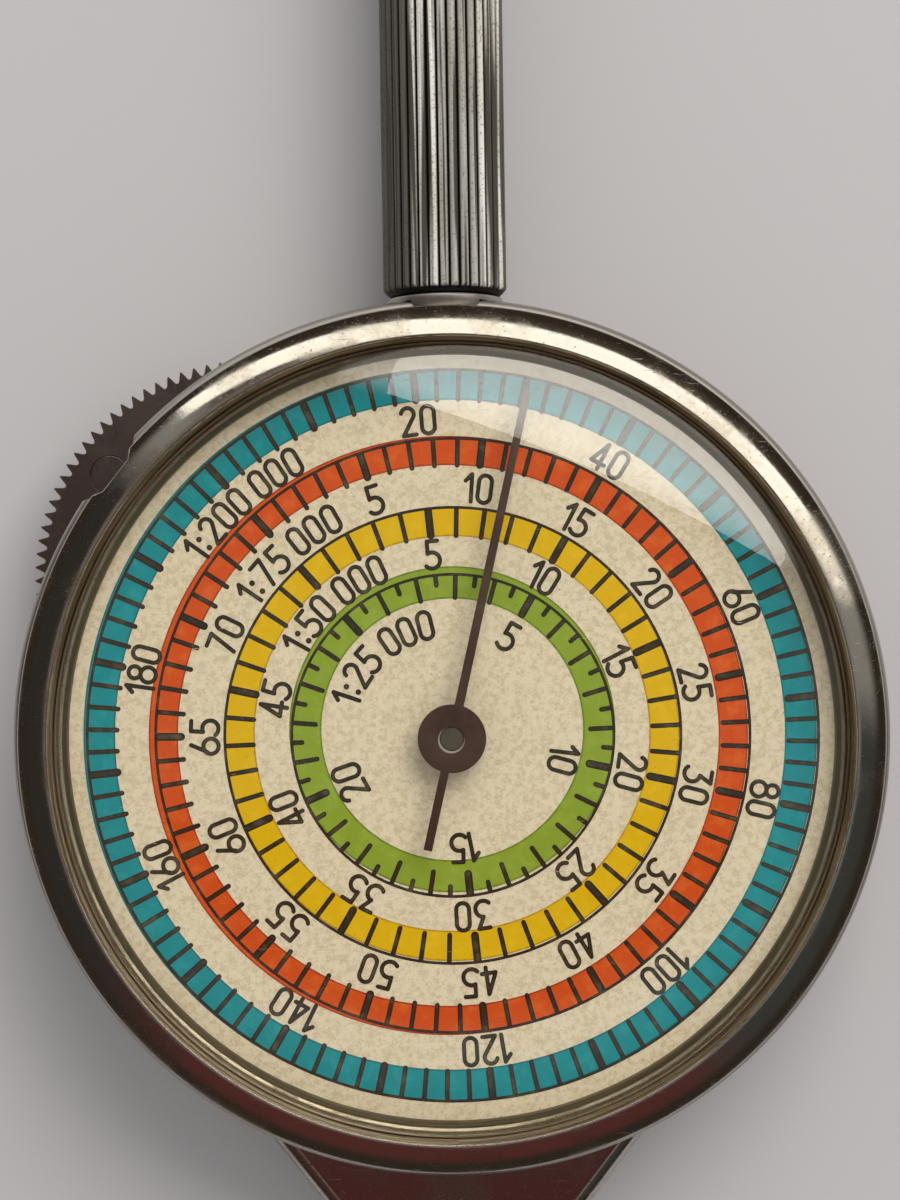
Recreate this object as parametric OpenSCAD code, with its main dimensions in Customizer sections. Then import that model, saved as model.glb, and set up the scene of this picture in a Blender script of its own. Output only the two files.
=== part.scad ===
// Map measurer: a tracking wheel geared 50 to 1 to one hand over a four-scale dial.
// Millimetres. The origin is the hand's axis on the flat back, +Y runs up the handle and
// +Z comes out of the dial.

/* [Case] */
// Radius of the round case
case_r = 17.5; // [17:0.1:19]
// Thickness of the stamped floor, walls and cheeks
shell_t = 0.6; // [0.5:0.05:0.7]
// Height of the rear shell's wall above its floor
rear_wall_h = 2.2; // [2.1:0.05:2.4]
// Rounding of the rear shell's back edge
back_edge_r = 1.2; // [0.6:0.1:1.4]
// Thickness of the front case's ring wall
band_t = 1.05; // [0.95:0.05:1.1]
// Height of the front case's ring above the dial
band_over_dial = 0.45; // [0.3:0.05:0.6]
// Rounding of the front case's shoulder
shoulder_r = 0.35; // [0.2:0.05:0.4]
// Depth to which the front case's spigot enters the rear shell
spigot_h = 0.7; // [0.4:0.1:0.9]
// Thickness of the front case's inner ledge, which the front plate sits on
ledge_t = 0.4; // [0.3:0.05:0.45]
// Width of the front case's inner ledge
ledge_w = 0.75; // [0.5:0.05:0.8]

/* [Nose] */
// Full width of the nose where its sides pass the lowest edge of the round case
nose_root_w = 13.2; // [12:0.1:14]
// Angle between a side of the nose and the handle's axis
nose_side_angle = 38; // [36:1:40]
// Radius of the rounded cheeks that hold the tracking wheel
cheek_r = 2.35; // [2.1:0.05:2.5]
// Height of the nose's front face above the flat back
nose_h = 4.4; // [4.35:0.05:4.45]
// Rounding of the nose's edges
nose_edge_r = 0.8; // [0.5:0.1:0.9]
// Free length of the wheel's slot between the cheeks, above the tracking wheel's centre
wheel_slot_h = 2.85; // [2.8:0.05:3]
// Length of the nose's root inside the round case
nose_root_l = 3.85; // [3.5:0.05:4.2]

/* [Bezel and crystal] */
// Width of the case's shoulder that the bezel leaves bare
shoulder_w = 0.4; // [0.35:0.05:0.5]
// Width of the bezel from its outer side to its inner lip
rim_w = 1.8; // [1.7:0.05:2]
// Radius of the crown of the bezel's outer side
rim_round = 2.8; // [2.5:0.05:3.2]
// Slope of that crown at the bezel's ridge
ridge_tilt = 13; // [8:1:16]
// Width of the sloping face between the ridge and the inner lip
ridge_w = 0.55; // [0.4:0.05:0.6]
// Height of the ridge above the inner lip
ridge_h = 0.55; // [0.4:0.05:0.6]
// Thickness of the lip's inner edge over the crystal
lip_edge_t = 0.05; // [0.05:0.01:0.1]
// Wall of the bezel's skirt inside the front case
skirt_t = 0.45; // [0.35:0.05:0.5]
// Depth of the bezel's skirt below the top of the front case
skirt_h = 0.75; // [0.5:0.05:0.78]
// Width of the crystal's rim under the lip
crystal_rim_w = 0.2; // [0.15:0.05:0.3]
// Thickness of the crystal at its rim
crystal_rim_t = 0.75; // [0.6:0.05:0.8]
// Height of the crystal's dome above its rim
crystal_rise = 2.15; // [1.8:0.05:2.4]
// Thickness of the crystal at its centre
crystal_t = 0.65; // [0.55:0.05:0.7]
// Height of the spacer ring between dial and crystal
spacer_h = 0.8; // [0.75:0.05:1]
// Wall of the spacer ring
spacer_w = 0.65; // [0.6:0.05:0.8]
// Flat width of the thumb notch's bottom
notch_w = 1.6; // [1.2:0.1:2]
// Depth of the thumb notch below the case's outer radius
notch_depth = 0.7; // [0.5:0.05:0.8]
// Flare of each side of the thumb notch
notch_flare = 55; // [45:1:60]

/* [Dial and hand] */
// Thickness of the dial plate
dial_plate_t = 0.3; // [0.25:0.05:0.4]
// Thickness of the printed dial face
dial_print_t = 0.1; // [0.08:0.01:0.12]
// Radius of the hole in the dial
dial_hole_r = 1; // [0.9:0.05:1.1]
// Distance of each dial foot from the hand's axis
dial_foot_at = 9; // [8:0.5:10]
// Radius of a dial foot
dial_foot_r = 0.35; // [0.3:0.05:0.4]
// Gap between the dial and the underside of the hand's blade
hand_lift = 0.8; // [0.7:0.05:0.85]
// Thickness of the hand's blade and hub
hand_t = 0.2; // [0.15:0.01:0.22]
// Radius of the hand's round hub
hand_hub_r = 1.35; // [1.2:0.05:1.5]
// Gap between the pointer's square tip and the spacer ring
pointer_gap = 1.2; // [0.8:0.1:2]
// Width of the pointer at the hub
pointer_root_w = 0.37; // [0.3:0.01:0.45]
// Width of the pointer at its tip
pointer_tip_w = 0.3; // [0.2:0.01:0.35]
// Length of the hand's tail from the axis
tail_l = 4.5; // [4:0.1:5]
// Width of the tail's end
tail_w = 0.34; // [0.3:0.01:0.4]
// Angle of the pointer at rest, clockwise from the handle
hand_rest = 13.1; // [0:0.1:359]

/* [Movement plates] */
// Thickness of the rear plate
rear_plate_t = 0.6; // [0.5:0.05:0.65]
// Length of the pillars between the plates
pillar_l = 3.3; // [3.25:0.01:3.35]
// Thickness of the front plate
front_plate_t = 0.55; // [0.5:0.05:0.65]
// Angles of the three pillars from +X
pillar_angles = [65, 205, 335]; // [0:1:359]
// Distance of the pillars' centres from the edge of the movement plates
pillar_inset = 1.95; // [1.85:0.05:2.1]
// Radius of a pillar
pillar_r = 1.1; // [1:0.05:1.15]
// Radius of a screw's thread
screw_r = 0.5; // [0.4:0.05:0.55]
// Radius of a countersunk screw's head
screw_head_r = 0.9; // [0.8:0.05:1]
// Length of a screw below its head
screw_l = 1.8; // [1.6:0.05:1.9]
// Width of a screw's slot
slot_w = 0.25; // [0.2:0.01:0.3]
// Depth of a screw's slot
slot_d = 0.18; // [0.1:0.01:0.25]

/* [Gears] */
// Path on the map for one turn of the tracking wheel
track_run = 20; // [19:0.1:21]
// Thickness of the tracking wheel
track_t = 1.2; // [1:0.05:1.3]
// Number of notches in the tracking wheel's rim
track_notches = 60; // [40:1:90]
// Depth of a notch in the tracking wheel's rim
track_notch_d = 0.08; // [0.05:0.01:0.12]
// Module of the tracking pinion, idler and intermediate wheel
lower_module = 0.25; // [0.245:0.001:0.255]
// Module of the intermediate pinion and centre wheel
upper_module = 0.23; // [0.228:0.001:0.232]
// Module of the centre pinion and setting wheel
setting_module = 0.174; // [0.17:0.001:0.178]
// Clearance between a tooth's tip and the root of its mate, as a share of the module
root_share = 0.25; // [0.2:0.01:0.3]
// Teeth of the tracking pinion
track_teeth = 10; // [9:1:11]
// Teeth of the idler
idler_teeth = 20; // [19:1:21]
// Teeth of the intermediate wheel
inter_teeth = 50; // [49:1:51]
// Teeth of the intermediate pinion
inter_pinion_teeth = 10; // [9:1:11]
// Teeth of the centre wheel
centre_teeth = 100; // [98:1:102]
// Teeth of the centre pinion
centre_pinion_teeth = 20; // [19:1:21]
// Teeth of the setting wheel
setting_teeth = 100; // [99:1:101]
// Direction of the setting wheel from the hand's axis, from +X
setting_dir = 141; // [139:0.5:143]
// Angle of one tooth of the setting wheel at rest
setting_rest = 133.5; // [132:0.1:135.6]
// Thickness of the setting wheel
setting_t = 0.5; // [0.4:0.05:0.55]
// Radius of the circle scribed on the setting wheel
scribe_r = 0.82; // [0.6:0.02:1]
// Distance of that circle from the setting wheel's centre
scribe_at = 7.15; // [6.5:0.05:7.2]
// Angle of that circle at rest, from +X
scribe_dir = 143.6; // [120:0.5:160]
// Width and depth of the scribed line
scribe_w = 0.06; // [0.04:0.01:0.08]
// Thickness of the centre pinion
centre_pinion_t = 0.7; // [0.6:0.05:0.75]
// Thickness of the centre wheel
centre_t = 0.3; // [0.25:0.01:0.35]
// Thickness of the intermediate wheel
inter_t = 0.4; // [0.3:0.05:0.45]
// Length of the intermediate pinion
inter_pinion_l = 0.65; // [0.6:0.05:0.7]
// Thickness of the idler
idler_t = 0.55; // [0.4:0.05:0.6]
// Number of spokes in the centre and intermediate wheels
spokes = 4; // [3:1:6]
// Width of a spoke
spoke_w = 1.1; // [0.8:0.1:1.6]
// Width of the centre wheel's rim inside its pitch circle
centre_rim_w = 1.2; // [0.8:0.1:1.6]
// Width of the intermediate wheel's rim inside its pitch circle
inter_rim_w = 1.1; // [0.8:0.1:1.6]
// Width that a spoked wheel's hub stands out round what it sits on
wheel_hub_w = 0.4; // [0.3:0.05:0.6]

/* [Arbors and studs] */
// Radius of the hand arbor where the wheels sit
arbor_r = 0.8; // [0.75:0.01:0.82]
// Radius of the hand arbor's end in the hub
arbor_end_r = 0.44; // [0.4:0.01:0.46]
// Radius of the hole in the top of the hand's hub
hub_hole_r = 0.5; // [0.5:0.01:0.56]
// Radius of the pivots that turn in the rear plate
pivot_r = 0.35; // [0.3:0.01:0.4]
// Radius of the hand arbor's collar below the centre wheel
collar_r = 1.5; // [1.4:0.05:1.6]
// Thickness of that collar
collar_t = 0.3; // [0.25:0.01:0.32]
// Radius of the friction spring
spring_r = 2.4; // [2.2:0.05:2.6]
// Thickness of the friction spring
spring_t = 0.15; // [0.1:0.01:0.16]
// Radius of the three hollows in the friction spring's edge
spring_hollow_r = 0.8; // [0.5:0.05:0.9]
// Radius of the collet that holds the friction spring
collet_r = 1.4; // [1.3:0.05:1.5]
// Thickness of that collet
collet_t = 0.25; // [0.2:0.01:0.26]
// Outer radius of the arbor's bushes
bush_r = 1.25; // [1.15:0.05:1.35]
// Radius of the setting wheel's journal
journal_r = 1; // [0.9:0.05:1.1]
// Radius of the collar below the setting wheel, and of the screw's head above it
stud_collar_r = 1.8; // [1.6:0.05:2]
// Length of the setting screw's thread
setting_thread_l = 0.9; // [0.6:0.05:1.2]
// Thickness of the setting screw's head
setting_head_t = 0.4; // [0.35:0.01:0.42]
// Radius of the setting stud's foot in the rear plate
stud_foot_r = 0.8; // [0.7:0.05:0.9]
// Radius of the intermediate arbor
inter_arbor_r = 0.5; // [0.45:0.01:0.52]
// Outer radius of the collet below the intermediate wheel
inter_collet_r = 1.3; // [1.2:0.05:1.5]
// Thickness of that collet
inter_collet_t = 0.5; // [0.4:0.05:0.6]
// Radius of the tracking axle and the idler's stud
axle_r = 0.45; // [0.4:0.01:0.46]
// Radius of the hub that carries the tracking wheel
track_hub_r = 0.85; // [0.8:0.01:0.88]
// Radius of the rivet heads on the nose
rivet_r = 0.8; // [0.7:0.05:0.9]
// Height of the rivet heads on the nose's front face
rivet_h = 0.2; // [0.15:0.01:0.25]
// Radius of the shoulder below the idler
idler_shoulder_r = 0.9; // [0.8:0.05:1]
// Thickness of the shoulder below the idler
idler_shoulder_t = 0.4; // [0.3:0.05:0.45]
// Radius of the spacer below the tracking wheel
track_spacer_r = 1.1; // [1:0.05:1.3]

/* [Handle] */
// Radius of the handle over its flutes
handle_r = 2.5; // [2.3:0.05:2.6]
// Length of the handle
handle_l = 36.4; // [30:0.1:40]
// Number of flutes
flutes = 36; // [30:1:44]
// Depth of a flute
flute_d = 0.2; // [0.15:0.01:0.25]
// Bevel at each end of the handle
handle_bevel = 0.35; // [0.2:0.05:0.5]
// Height of the handle's axis above the flat back
handle_z = 4; // [3.95:0.01:4.1]
// Radius of the boss between handle and case
boss_r = 2.35; // [2.2:0.01:2.4]
// Length of the boss outside the case
boss_l = 0.2; // [0.2:0.05:0.5]
// Rounding of the boss's edges
boss_round = 0.2; // [0.1:0.05:0.2]
// Radius of the boss's tail in the case wall
tail_r = 1; // [0.9:0.01:1.02]
// Radius of the spigot on which the handle is screwed
spigot_r = 1.25; // [1.1:0.05:1.4]
// Length of that spigot
spigot_l = 5; // [4:0.1:6]
// Gap between boss and handle
handle_gap = 0.05; // [0.05:0.05:0.3]

/* [Fits] */
// Radial gap of a turning fit
running_gap = 0.04; // [0.02:0.005:0.06]
// Radial gap between parts that slide together and stay
seat_gap = 0.05; // [0.04:0.005:0.08]
// End play of a turning part
end_play = 0.05; // [0.03:0.01:0.07]
// Gap above, below and round the setting wheel in its slot
slot_gap = 0.25; // [0.2:0.01:0.3]
// Gap between the centre pinion and the collar above it
collar_gap = 0.25; // [0.2:0.01:0.28]
// Height of the idler above the split between the case halves
idler_lift = 0.25; // [0.22:0.01:0.28]
// Gap round the idler between the walls of the nose
idler_gap = 0.15; // [0.1:0.01:0.2]
// Gap between the intermediate wheel and its pinion
pinion_gap = 0.15; // [0.1:0.01:0.2]
// Gap between the tracking wheel and the idler's shoulder
shoulder_gap = 0.2; // [0.15:0.01:0.25]
// Reach of a cut past the face that it opens
over = 0.2; // [0.1:0.05:0.3]

/* [Hidden] */
$fn = 96;

// Heights of the stack above the flat back
split_z = shell_t + rear_wall_h;
rear_plate_top = shell_t + rear_plate_t;
front_plate_z = rear_plate_top + pillar_l;
dial_seat_z = front_plate_z + front_plate_t;
print_z = dial_seat_z + dial_plate_t;
dial_z = print_z + dial_print_t;
band_top_z = dial_z + band_over_dial;
crystal_z = dial_z + spacer_h;
lip_z = crystal_z + crystal_rim_t;
ridge_z = lip_z + lip_edge_t + ridge_h;
hand_z = dial_z + hand_lift;
nose_ceiling_z = nose_h - shell_t;

// Radii of the parts that sit inside each other
band_in_r = case_r - band_t;
plate_r = band_in_r - 2 * seat_gap;
ledge_in_r = band_in_r - ledge_w;
spigot_out_r = case_r - shell_t - seat_gap;
bezel_r = case_r - shoulder_w;
skirt_r = band_in_r - seat_gap;
skirt_in_r = skirt_r - skirt_t;
dial_r = skirt_in_r - 2 * seat_gap;
lip_in_r = bezel_r - rim_w;
ridge_r = lip_in_r + ridge_w;
crystal_r = lip_in_r + crystal_rim_w;
spacer_in_r = dial_r - spacer_w;
pointer_l = spacer_in_r - pointer_gap;
pillar_at = plate_r - pillar_inset;
nose_top_y = nose_root_l - case_r;

// Gear centres
inter_y = -upper_module * (centre_teeth + inter_pinion_teeth) / 2;
idler_y = inter_y - lower_module * (inter_teeth + idler_teeth) / 2;
track_y = idler_y - lower_module * (idler_teeth + track_teeth) / 2;
setting_at = setting_module * (setting_teeth + centre_pinion_teeth) / 2;
setting_centre = setting_at * [cos(setting_dir), sin(setting_dir)];
track_r = track_run / (2 * PI);

// Heights of the gears
setting_z = split_z - setting_t / 2;
centre_pinion_z = split_z - centre_pinion_t / 2;
setting_top_z = setting_z + setting_t + end_play;
collar_z = centre_pinion_z + centre_pinion_t + collar_gap;
centre_z = collar_z + collar_t;
spring_z = centre_z + centre_t;
collet_z = spring_z + spring_t;
idler_z = split_z + idler_lift;
idler_shoulder_z = idler_z - end_play - idler_shoulder_t;
inter_z = idler_z;
inter_pinion_z = inter_z + inter_t + pinion_gap;
track_z = idler_shoulder_z - shoulder_gap - track_t;
track_pinion_z = track_z + track_t;
track_pinion_l = nose_ceiling_z - 2 * end_play - track_pinion_z;

// Gear tooth widths at tip, pitch line and root, in shares of the pitch angle
wheel_tooth = [0.18, 0.44, 0.62];
leaf_tooth = [0.16, 0.4, 0.42];
pointed_tooth = [0.1, 0.4, 0.7];

function polar(r, a) = [r * cos(a), r * sin(a)];
function arc(c, r, a0, a1, n) = [for (i = [0:n]) c + polar(r, a0 + (a1 - a0) * i / n)];

// Angle of one tooth of a gear that meshes with a gear having a tooth at angle `tooth`,
// where `dir` is the direction from that gear to this one
function mate(dir, tooth, teeth, mate_teeth) =
    dir + 180 - (tooth - dir) * teeth / mate_teeth + 180 / mate_teeth;

centre_tooth = -90;
inter_pinion_tooth = mate(-90, centre_tooth, centre_teeth, inter_pinion_teeth);
inter_tooth = -90;
idler_tooth = mate(-90, inter_tooth, inter_teeth, idler_teeth);
track_tooth = mate(-90, idler_tooth, idler_teeth, track_teeth);
centre_pinion_tooth =
    mate(setting_dir + 180, setting_rest, setting_teeth, centre_pinion_teeth);

// Outline of a spur gear with one tooth at the angle `tooth`
function gear_outline(n, m, tooth, w) = [
    for (i = [0:n - 1], k = [-3, -2, -1, 1, 2, 3])
        let (level = abs(k) - 1,
             r = m * n / 2 + (level == 0 ? m : level == 1 ? 0 : -m * (1 + root_share)))
        polar(r, tooth + (i + sign(k) * w[level] / 2) * 360 / n)
];

module gear(n, m, h, tooth, w) {
    linear_extrude(h) polygon(gear_outline(n, m, tooth, w));
}

// Windows between the spokes of a wheel, from radius r0 to radius r1
module spoke_windows(r0, r1, h) {
    difference() {
        cylinder(r = r1, h = h);
        cylinder(r = r0, h = h);
        for (i = [0:spokes - 1]) rotate(i * 360 / spokes + 45)
            translate([0, -spoke_w / 2, 0]) cube([r1 + over, spoke_w, h]);
    }
}

// Outline of the nose, drawn in by `inset`: round tip, hollow flanks and straight sides. Its
// points run from the tip up the right side and down the left one.
flank_y = -case_r - (nose_root_w / 2 - cheek_r) / tan(nose_side_angle);
flank_r = (flank_y - track_y) / tan(nose_side_angle / 2);
nose_steps = 8;
function nose_half(inset) =
    let (c = [cheek_r + flank_r, track_y],
         flank = arc(c, flank_r + inset, 180, 180 - nose_side_angle, nose_steps),
         last = flank[nose_steps],
         side = [last[0] + (nose_top_y - last[1]) * tan(nose_side_angle), nose_top_y])
    concat(arc([0, track_y], cheek_r - inset, 270, 360 - 90 / nose_steps, nose_steps - 1),
           flank, [side]);
function mirrored(points) =
    [for (i = [len(points) - 1:-1:0]) [-points[i][0], points[i][1]]];
function nose_outline(inset) =
    let (half = nose_half(inset))
    concat(half, [for (p = mirrored(half)) if (p[0] < -0.0001) p]);

function reversed(faces) = [for (f = faces) [for (i = [len(f) - 1:-1:0]) f[i]]];

// Slab of the nose between z0 and z1 whose edge at z1 is rounded
module nose_slab(z0, z1) {
    steps = 6;
    toward = sign(z1 - z0);
    rings = concat([[0, z0]], [for (i = [0:steps]) [
        nose_edge_r * (1 - cos(90 * i / steps)),
        z1 - toward * nose_edge_r * (1 - sin(90 * i / steps))]]);
    n = len(nose_outline(0));
    widest = (n - 1) / 2;
    points = [for (ring = rings) each [for (p = nose_outline(ring[0]))
        [p[0], p[1], ring[1]]]];
    sides = [for (k = [0:steps], i = [0:n - 1], half = [0, 1])
        let (a = k * n + i, b = k * n + (i + 1) % n)
        half == 0 ? [a, b, b + n] : [a, b + n, a + n]];
    // each end is closed by strips from a point on the right side to its mirror on the left
    cap = concat([[0, 1, n - 1]], [for (i = [1:widest - 1]) [i, i + 1, n - 1 - i, n - i]]);
    top = [for (strip = cap) [for (i = strip) (steps + 1) * n + i]];
    faces = concat(sides, reversed(cap), top);
    polyhedron(points, toward < 0 ? faces : reversed(faces));
}

// Space inside the nose, open between the cheeks and towards the movement
module nose_cavity() {
    translate([0, 0, shell_t]) linear_extrude(nose_ceiling_z - shell_t)
        polygon(nose_outline(shell_t));
    translate([-case_r / 2, track_y - 2 * cheek_r, shell_t])
        cube([case_r, 2 * cheek_r + wheel_slot_h, nose_ceiling_z - shell_t]);
}

// Disc of space that the idler turns in, between the walls of the nose
module idler_space() {
    translate([0, idler_y, split_z])
        cylinder(r = lower_module * (idler_teeth / 2 + 1) + idler_gap,
                 h = nose_ceiling_z - split_z);
}

// Disc of space that the setting wheel turns in
module setting_space() {
    gap_h = setting_t + 2 * slot_gap;
    translate([setting_centre[0], setting_centre[1], split_z - gap_h / 2])
        cylinder(r = setting_module * (setting_teeth / 2 + 1) + slot_gap, h = gap_h);
}

// Thumb notch at the setting wheel, cut through the case ring and the bezel
module thumb_notch() {
    bottom = case_r - notch_depth;
    outer = case_r + over;
    spread = notch_w / 2 + (outer - bottom) * tan(notch_flare);
    rotate(setting_dir) translate([0, 0, split_z]) linear_extrude(ridge_z + over - split_z)
        polygon([[bottom, -notch_w / 2], [outer, -spread], [outer, spread], [bottom, notch_w / 2]]);
}

// A screw that stands on z = 0 and points down: countersunk head with a slot
module flat_screw(head_t) {
    difference() {
        union() {
            translate([0, 0, -head_t]) cylinder(r1 = screw_r, r2 = screw_head_r, h = head_t);
            translate([0, 0, -head_t - screw_l]) cylinder(r = screw_r, h = screw_l);
        }
        translate([-screw_head_r, -slot_w / 2, -slot_d])
            cube([2 * screw_head_r, slot_w, slot_d]);
    }
}

module countersink(head_t) {
    translate([0, 0, -head_t]) cylinder(r1 = screw_r, r2 = screw_head_r, h = head_t);
}

module at_pillars() {
    for (a = pillar_angles) rotate(a) translate([pillar_at, 0, 0]) rotate(-a) children();
}

// ---- Case ----

module rear_case() {
    color("silver") difference() {
        union() {
            rotate_extrude() difference() {
                union() {
                    translate([0, back_edge_r]) square([case_r, split_z - back_edge_r]);
                    square([case_r - back_edge_r, split_z]);
                    translate([case_r - back_edge_r, back_edge_r]) circle(r = back_edge_r);
                }
                translate([0, shell_t]) square([case_r - shell_t, split_z]);
            }
            difference() {
                nose_slab(split_z, 0);
                translate([0, 0, shell_t]) cylinder(r = case_r - shell_t, h = split_z);
            }
        }
        nose_cavity();
        setting_space();
        at_pillars() rotate([180, 0, 0]) countersink(shell_t);
        translate([0, track_y, 0]) cylinder(r1 = rivet_r, r2 = axle_r, h = shell_t);
        translate([0, track_y, -over]) cylinder(r = rivet_r, h = over);
    }
}

module front_case() {
    color("silver") difference() {
        union() {
            rotate_extrude() {
                translate([band_in_r, split_z])
                    square([band_t - shoulder_r, band_top_z - split_z]);
                translate([band_in_r, split_z])
                    square([band_t, band_top_z - shoulder_r - split_z]);
                translate([case_r - shoulder_r, band_top_z - shoulder_r])
                    circle(r = shoulder_r);
                translate([band_in_r, split_z - spigot_h])
                    square([spigot_out_r - band_in_r, spigot_h]);
                translate([ledge_in_r, front_plate_z - ledge_t])
                    square([ledge_w, ledge_t]);
            }
            difference() {
                nose_slab(split_z, nose_h);
                translate([0, 0, split_z]) cylinder(r = band_in_r, h = nose_h);
            }
        }
        nose_cavity();
        intersection() {
            translate([0, nose_top_y, 0])
                cylinder(r = case_r / 2, h = nose_ceiling_z);
            linear_extrude(nose_ceiling_z) polygon(nose_outline(shell_t));
        }
        idler_space();
        setting_space();
        thumb_notch();
        translate([0, 0, handle_z]) rotate([-90, 0, 0]) cylinder(r = tail_r, h = case_r + over);
        for (y = [track_y, idler_y]) translate([0, y, 0])
            cylinder(r = axle_r, h = nose_h + over);
    }
}

module bezel() {
    crown_r = ridge_r - rim_round * sin(ridge_tilt);
    crown_z = ridge_z - rim_round * cos(ridge_tilt);
    past_z = over * ridge_h / ridge_w;
    color("gainsboro") difference() {
        rotate_extrude() {
            difference() {
                intersection() {
                    translate([crown_r, crown_z]) circle(r = rim_round);
                    union() {
                        translate([lip_in_r, lip_z])
                            square([bezel_r - lip_in_r, ridge_z + over - lip_z]);
                        translate([crystal_r, crystal_z])
                            square([bezel_r - crystal_r, lip_z - crystal_z]);
                    }
                }
                polygon([[lip_in_r - over, lip_z + lip_edge_t - past_z],
                         [ridge_r + over, ridge_z + past_z],
                         [lip_in_r - over, ridge_z + past_z]]);
            }
            translate([skirt_in_r, band_top_z])
                square([bezel_r - skirt_in_r, crystal_z - band_top_z]);
            translate([skirt_in_r, band_top_z - skirt_h]) square([skirt_t, skirt_h]);
        }
        thumb_notch();
    }
}

module crystal() {
    dome_r = (lip_in_r * lip_in_r + crystal_rise * crystal_rise) / (2 * crystal_rise);
    top_z = lip_z + crystal_rise;
    color("lightcyan", 0.35) rotate_extrude() difference() {
        union() {
            translate([0, crystal_z]) square([crystal_r, crystal_rim_t]);
            intersection() {
                translate([0, top_z - dome_r]) circle(r = dome_r, $fn = 360);
                translate([0, lip_z]) square([lip_in_r, crystal_rise]);
            }
        }
        translate([0, top_z - dome_r]) circle(r = dome_r - crystal_t, $fn = 360);
    }
}

module spacer_ring() {
    color("darkkhaki") translate([0, 0, dial_z]) difference() {
        cylinder(r = dial_r, h = spacer_h);
        cylinder(r = spacer_in_r, h = spacer_h);
    }
}

// ---- Dial and hand ----

module dial_plate() {
    color("goldenrod") difference() {
        union() {
            translate([0, 0, dial_seat_z]) cylinder(r = dial_r, h = dial_plate_t);
            for (side = [-1, 1]) translate([side * dial_foot_at, 0, front_plate_z])
                cylinder(r = dial_foot_r, h = front_plate_t);
        }
        translate([0, 0, dial_seat_z]) cylinder(r = dial_hole_r, h = dial_plate_t);
    }
}

module dial_print() {
    color("ivory") translate([0, 0, print_z]) difference() {
        cylinder(r = dial_r, h = dial_print_t);
        cylinder(r = dial_hole_r, h = dial_print_t);
    }
}

module hand() {
    bush_top = hand_t / 2;
    color("saddlebrown") translate([0, 0, hand_z]) rotate(-hand_rest) difference() {
        union() {
            cylinder(r = hand_hub_r, h = hand_t);
            linear_extrude(hand_t) polygon([
                [-pointer_root_w / 2, 0], [pointer_root_w / 2, 0],
                [pointer_tip_w / 2, pointer_l], [-pointer_tip_w / 2, pointer_l]]);
            linear_extrude(hand_t) polygon([
                [-tail_w / 2, 0], [-tail_w / 2, -tail_l],
                [tail_w / 2, -tail_l], [tail_w / 2, 0]]);
            translate([0, 0, -hand_t]) cylinder(r = arbor_r, h = hand_t);
        }
        translate([0, 0, -hand_t]) cylinder(r = arbor_end_r, h = hand_t + bush_top);
        translate([0, 0, bush_top]) cylinder(r = hub_hole_r, h = hand_t);
    }
}

// ---- Hand arbor and its wheels ----

module hand_arbor() {
    shoulder_z = hand_z - hand_t;
    color("lightslategray") {
        translate([0, 0, shell_t + end_play])
            cylinder(r = pivot_r, h = rear_plate_t + end_play);
        translate([0, 0, rear_plate_top + 2 * end_play])
            cylinder(r = arbor_r, h = shoulder_z - rear_plate_top - 2 * end_play);
        translate([0, 0, collar_z]) cylinder(r = collar_r, h = collar_t);
        translate([0, 0, shoulder_z]) cylinder(r = arbor_end_r, h = 2 * hand_t);
    }
}

module centre_pinion() {
    color("slategray") translate([0, 0, centre_pinion_z]) difference() {
        gear(centre_pinion_teeth, setting_module, centre_pinion_t, centre_pinion_tooth,
             leaf_tooth);
        cylinder(r = arbor_r, h = centre_pinion_t);
    }
}

module centre_wheel() {
    rim_r = upper_module * centre_teeth / 2 - centre_rim_w;
    color("goldenrod") translate([0, 0, centre_z]) difference() {
        gear(centre_teeth, upper_module, centre_t, centre_tooth, wheel_tooth);
        spoke_windows(spring_r + wheel_hub_w, rim_r, centre_t);
        cylinder(r = arbor_r, h = centre_t);
    }
}

module friction_spring() {
    color("darkgray") translate([0, 0, spring_z]) difference() {
        cylinder(r = spring_r, h = spring_t);
        cylinder(r = arbor_r, h = spring_t);
        for (i = [0:2]) rotate(i * 120) translate([spring_r, 0, 0])
            cylinder(r = spring_hollow_r, h = spring_t);
    }
}

module clutch_collet() {
    color("goldenrod") translate([0, 0, collet_z]) difference() {
        cylinder(r = collet_r, h = collet_t);
        cylinder(r = arbor_r, h = collet_t);
    }
}

// ---- Setting wheel ----

module setting_wheel() {
    color("dimgray") translate([setting_centre[0], setting_centre[1], setting_z]) difference() {
        gear(setting_teeth, setting_module, setting_t, setting_rest, pointed_tooth);
        cylinder(r = journal_r + running_gap, h = setting_t);
        rotate(scribe_dir) translate([scribe_at, 0, setting_t - scribe_w]) difference() {
            cylinder(r = scribe_r, h = scribe_w);
            cylinder(r = scribe_r - scribe_w, h = scribe_w);
        }
    }
}

module setting_stud() {
    color("lightslategray") translate([setting_centre[0], setting_centre[1], 0]) difference() {
        union() {
            translate([0, 0, shell_t]) cylinder(r = stud_foot_r, h = rear_plate_t);
            translate([0, 0, rear_plate_top])
                cylinder(r = stud_collar_r, h = setting_z - end_play - rear_plate_top);
            translate([0, 0, setting_z - end_play])
                cylinder(r = journal_r, h = setting_t + 2 * end_play);
        }
        translate([0, 0, setting_top_z - setting_thread_l])
            cylinder(r = screw_r, h = setting_thread_l);
    }
}

module setting_screw() {
    color("silver") translate([setting_centre[0], setting_centre[1], setting_top_z])
        difference() {
            union() {
                cylinder(r = stud_collar_r, h = setting_head_t);
                translate([0, 0, -setting_thread_l])
                    cylinder(r = screw_r, h = setting_thread_l);
            }
            translate([-stud_collar_r, -slot_w / 2, setting_head_t - slot_d])
                cube([2 * stud_collar_r, slot_w, slot_d]);
        }
}

// ---- Movement plates ----

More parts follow.
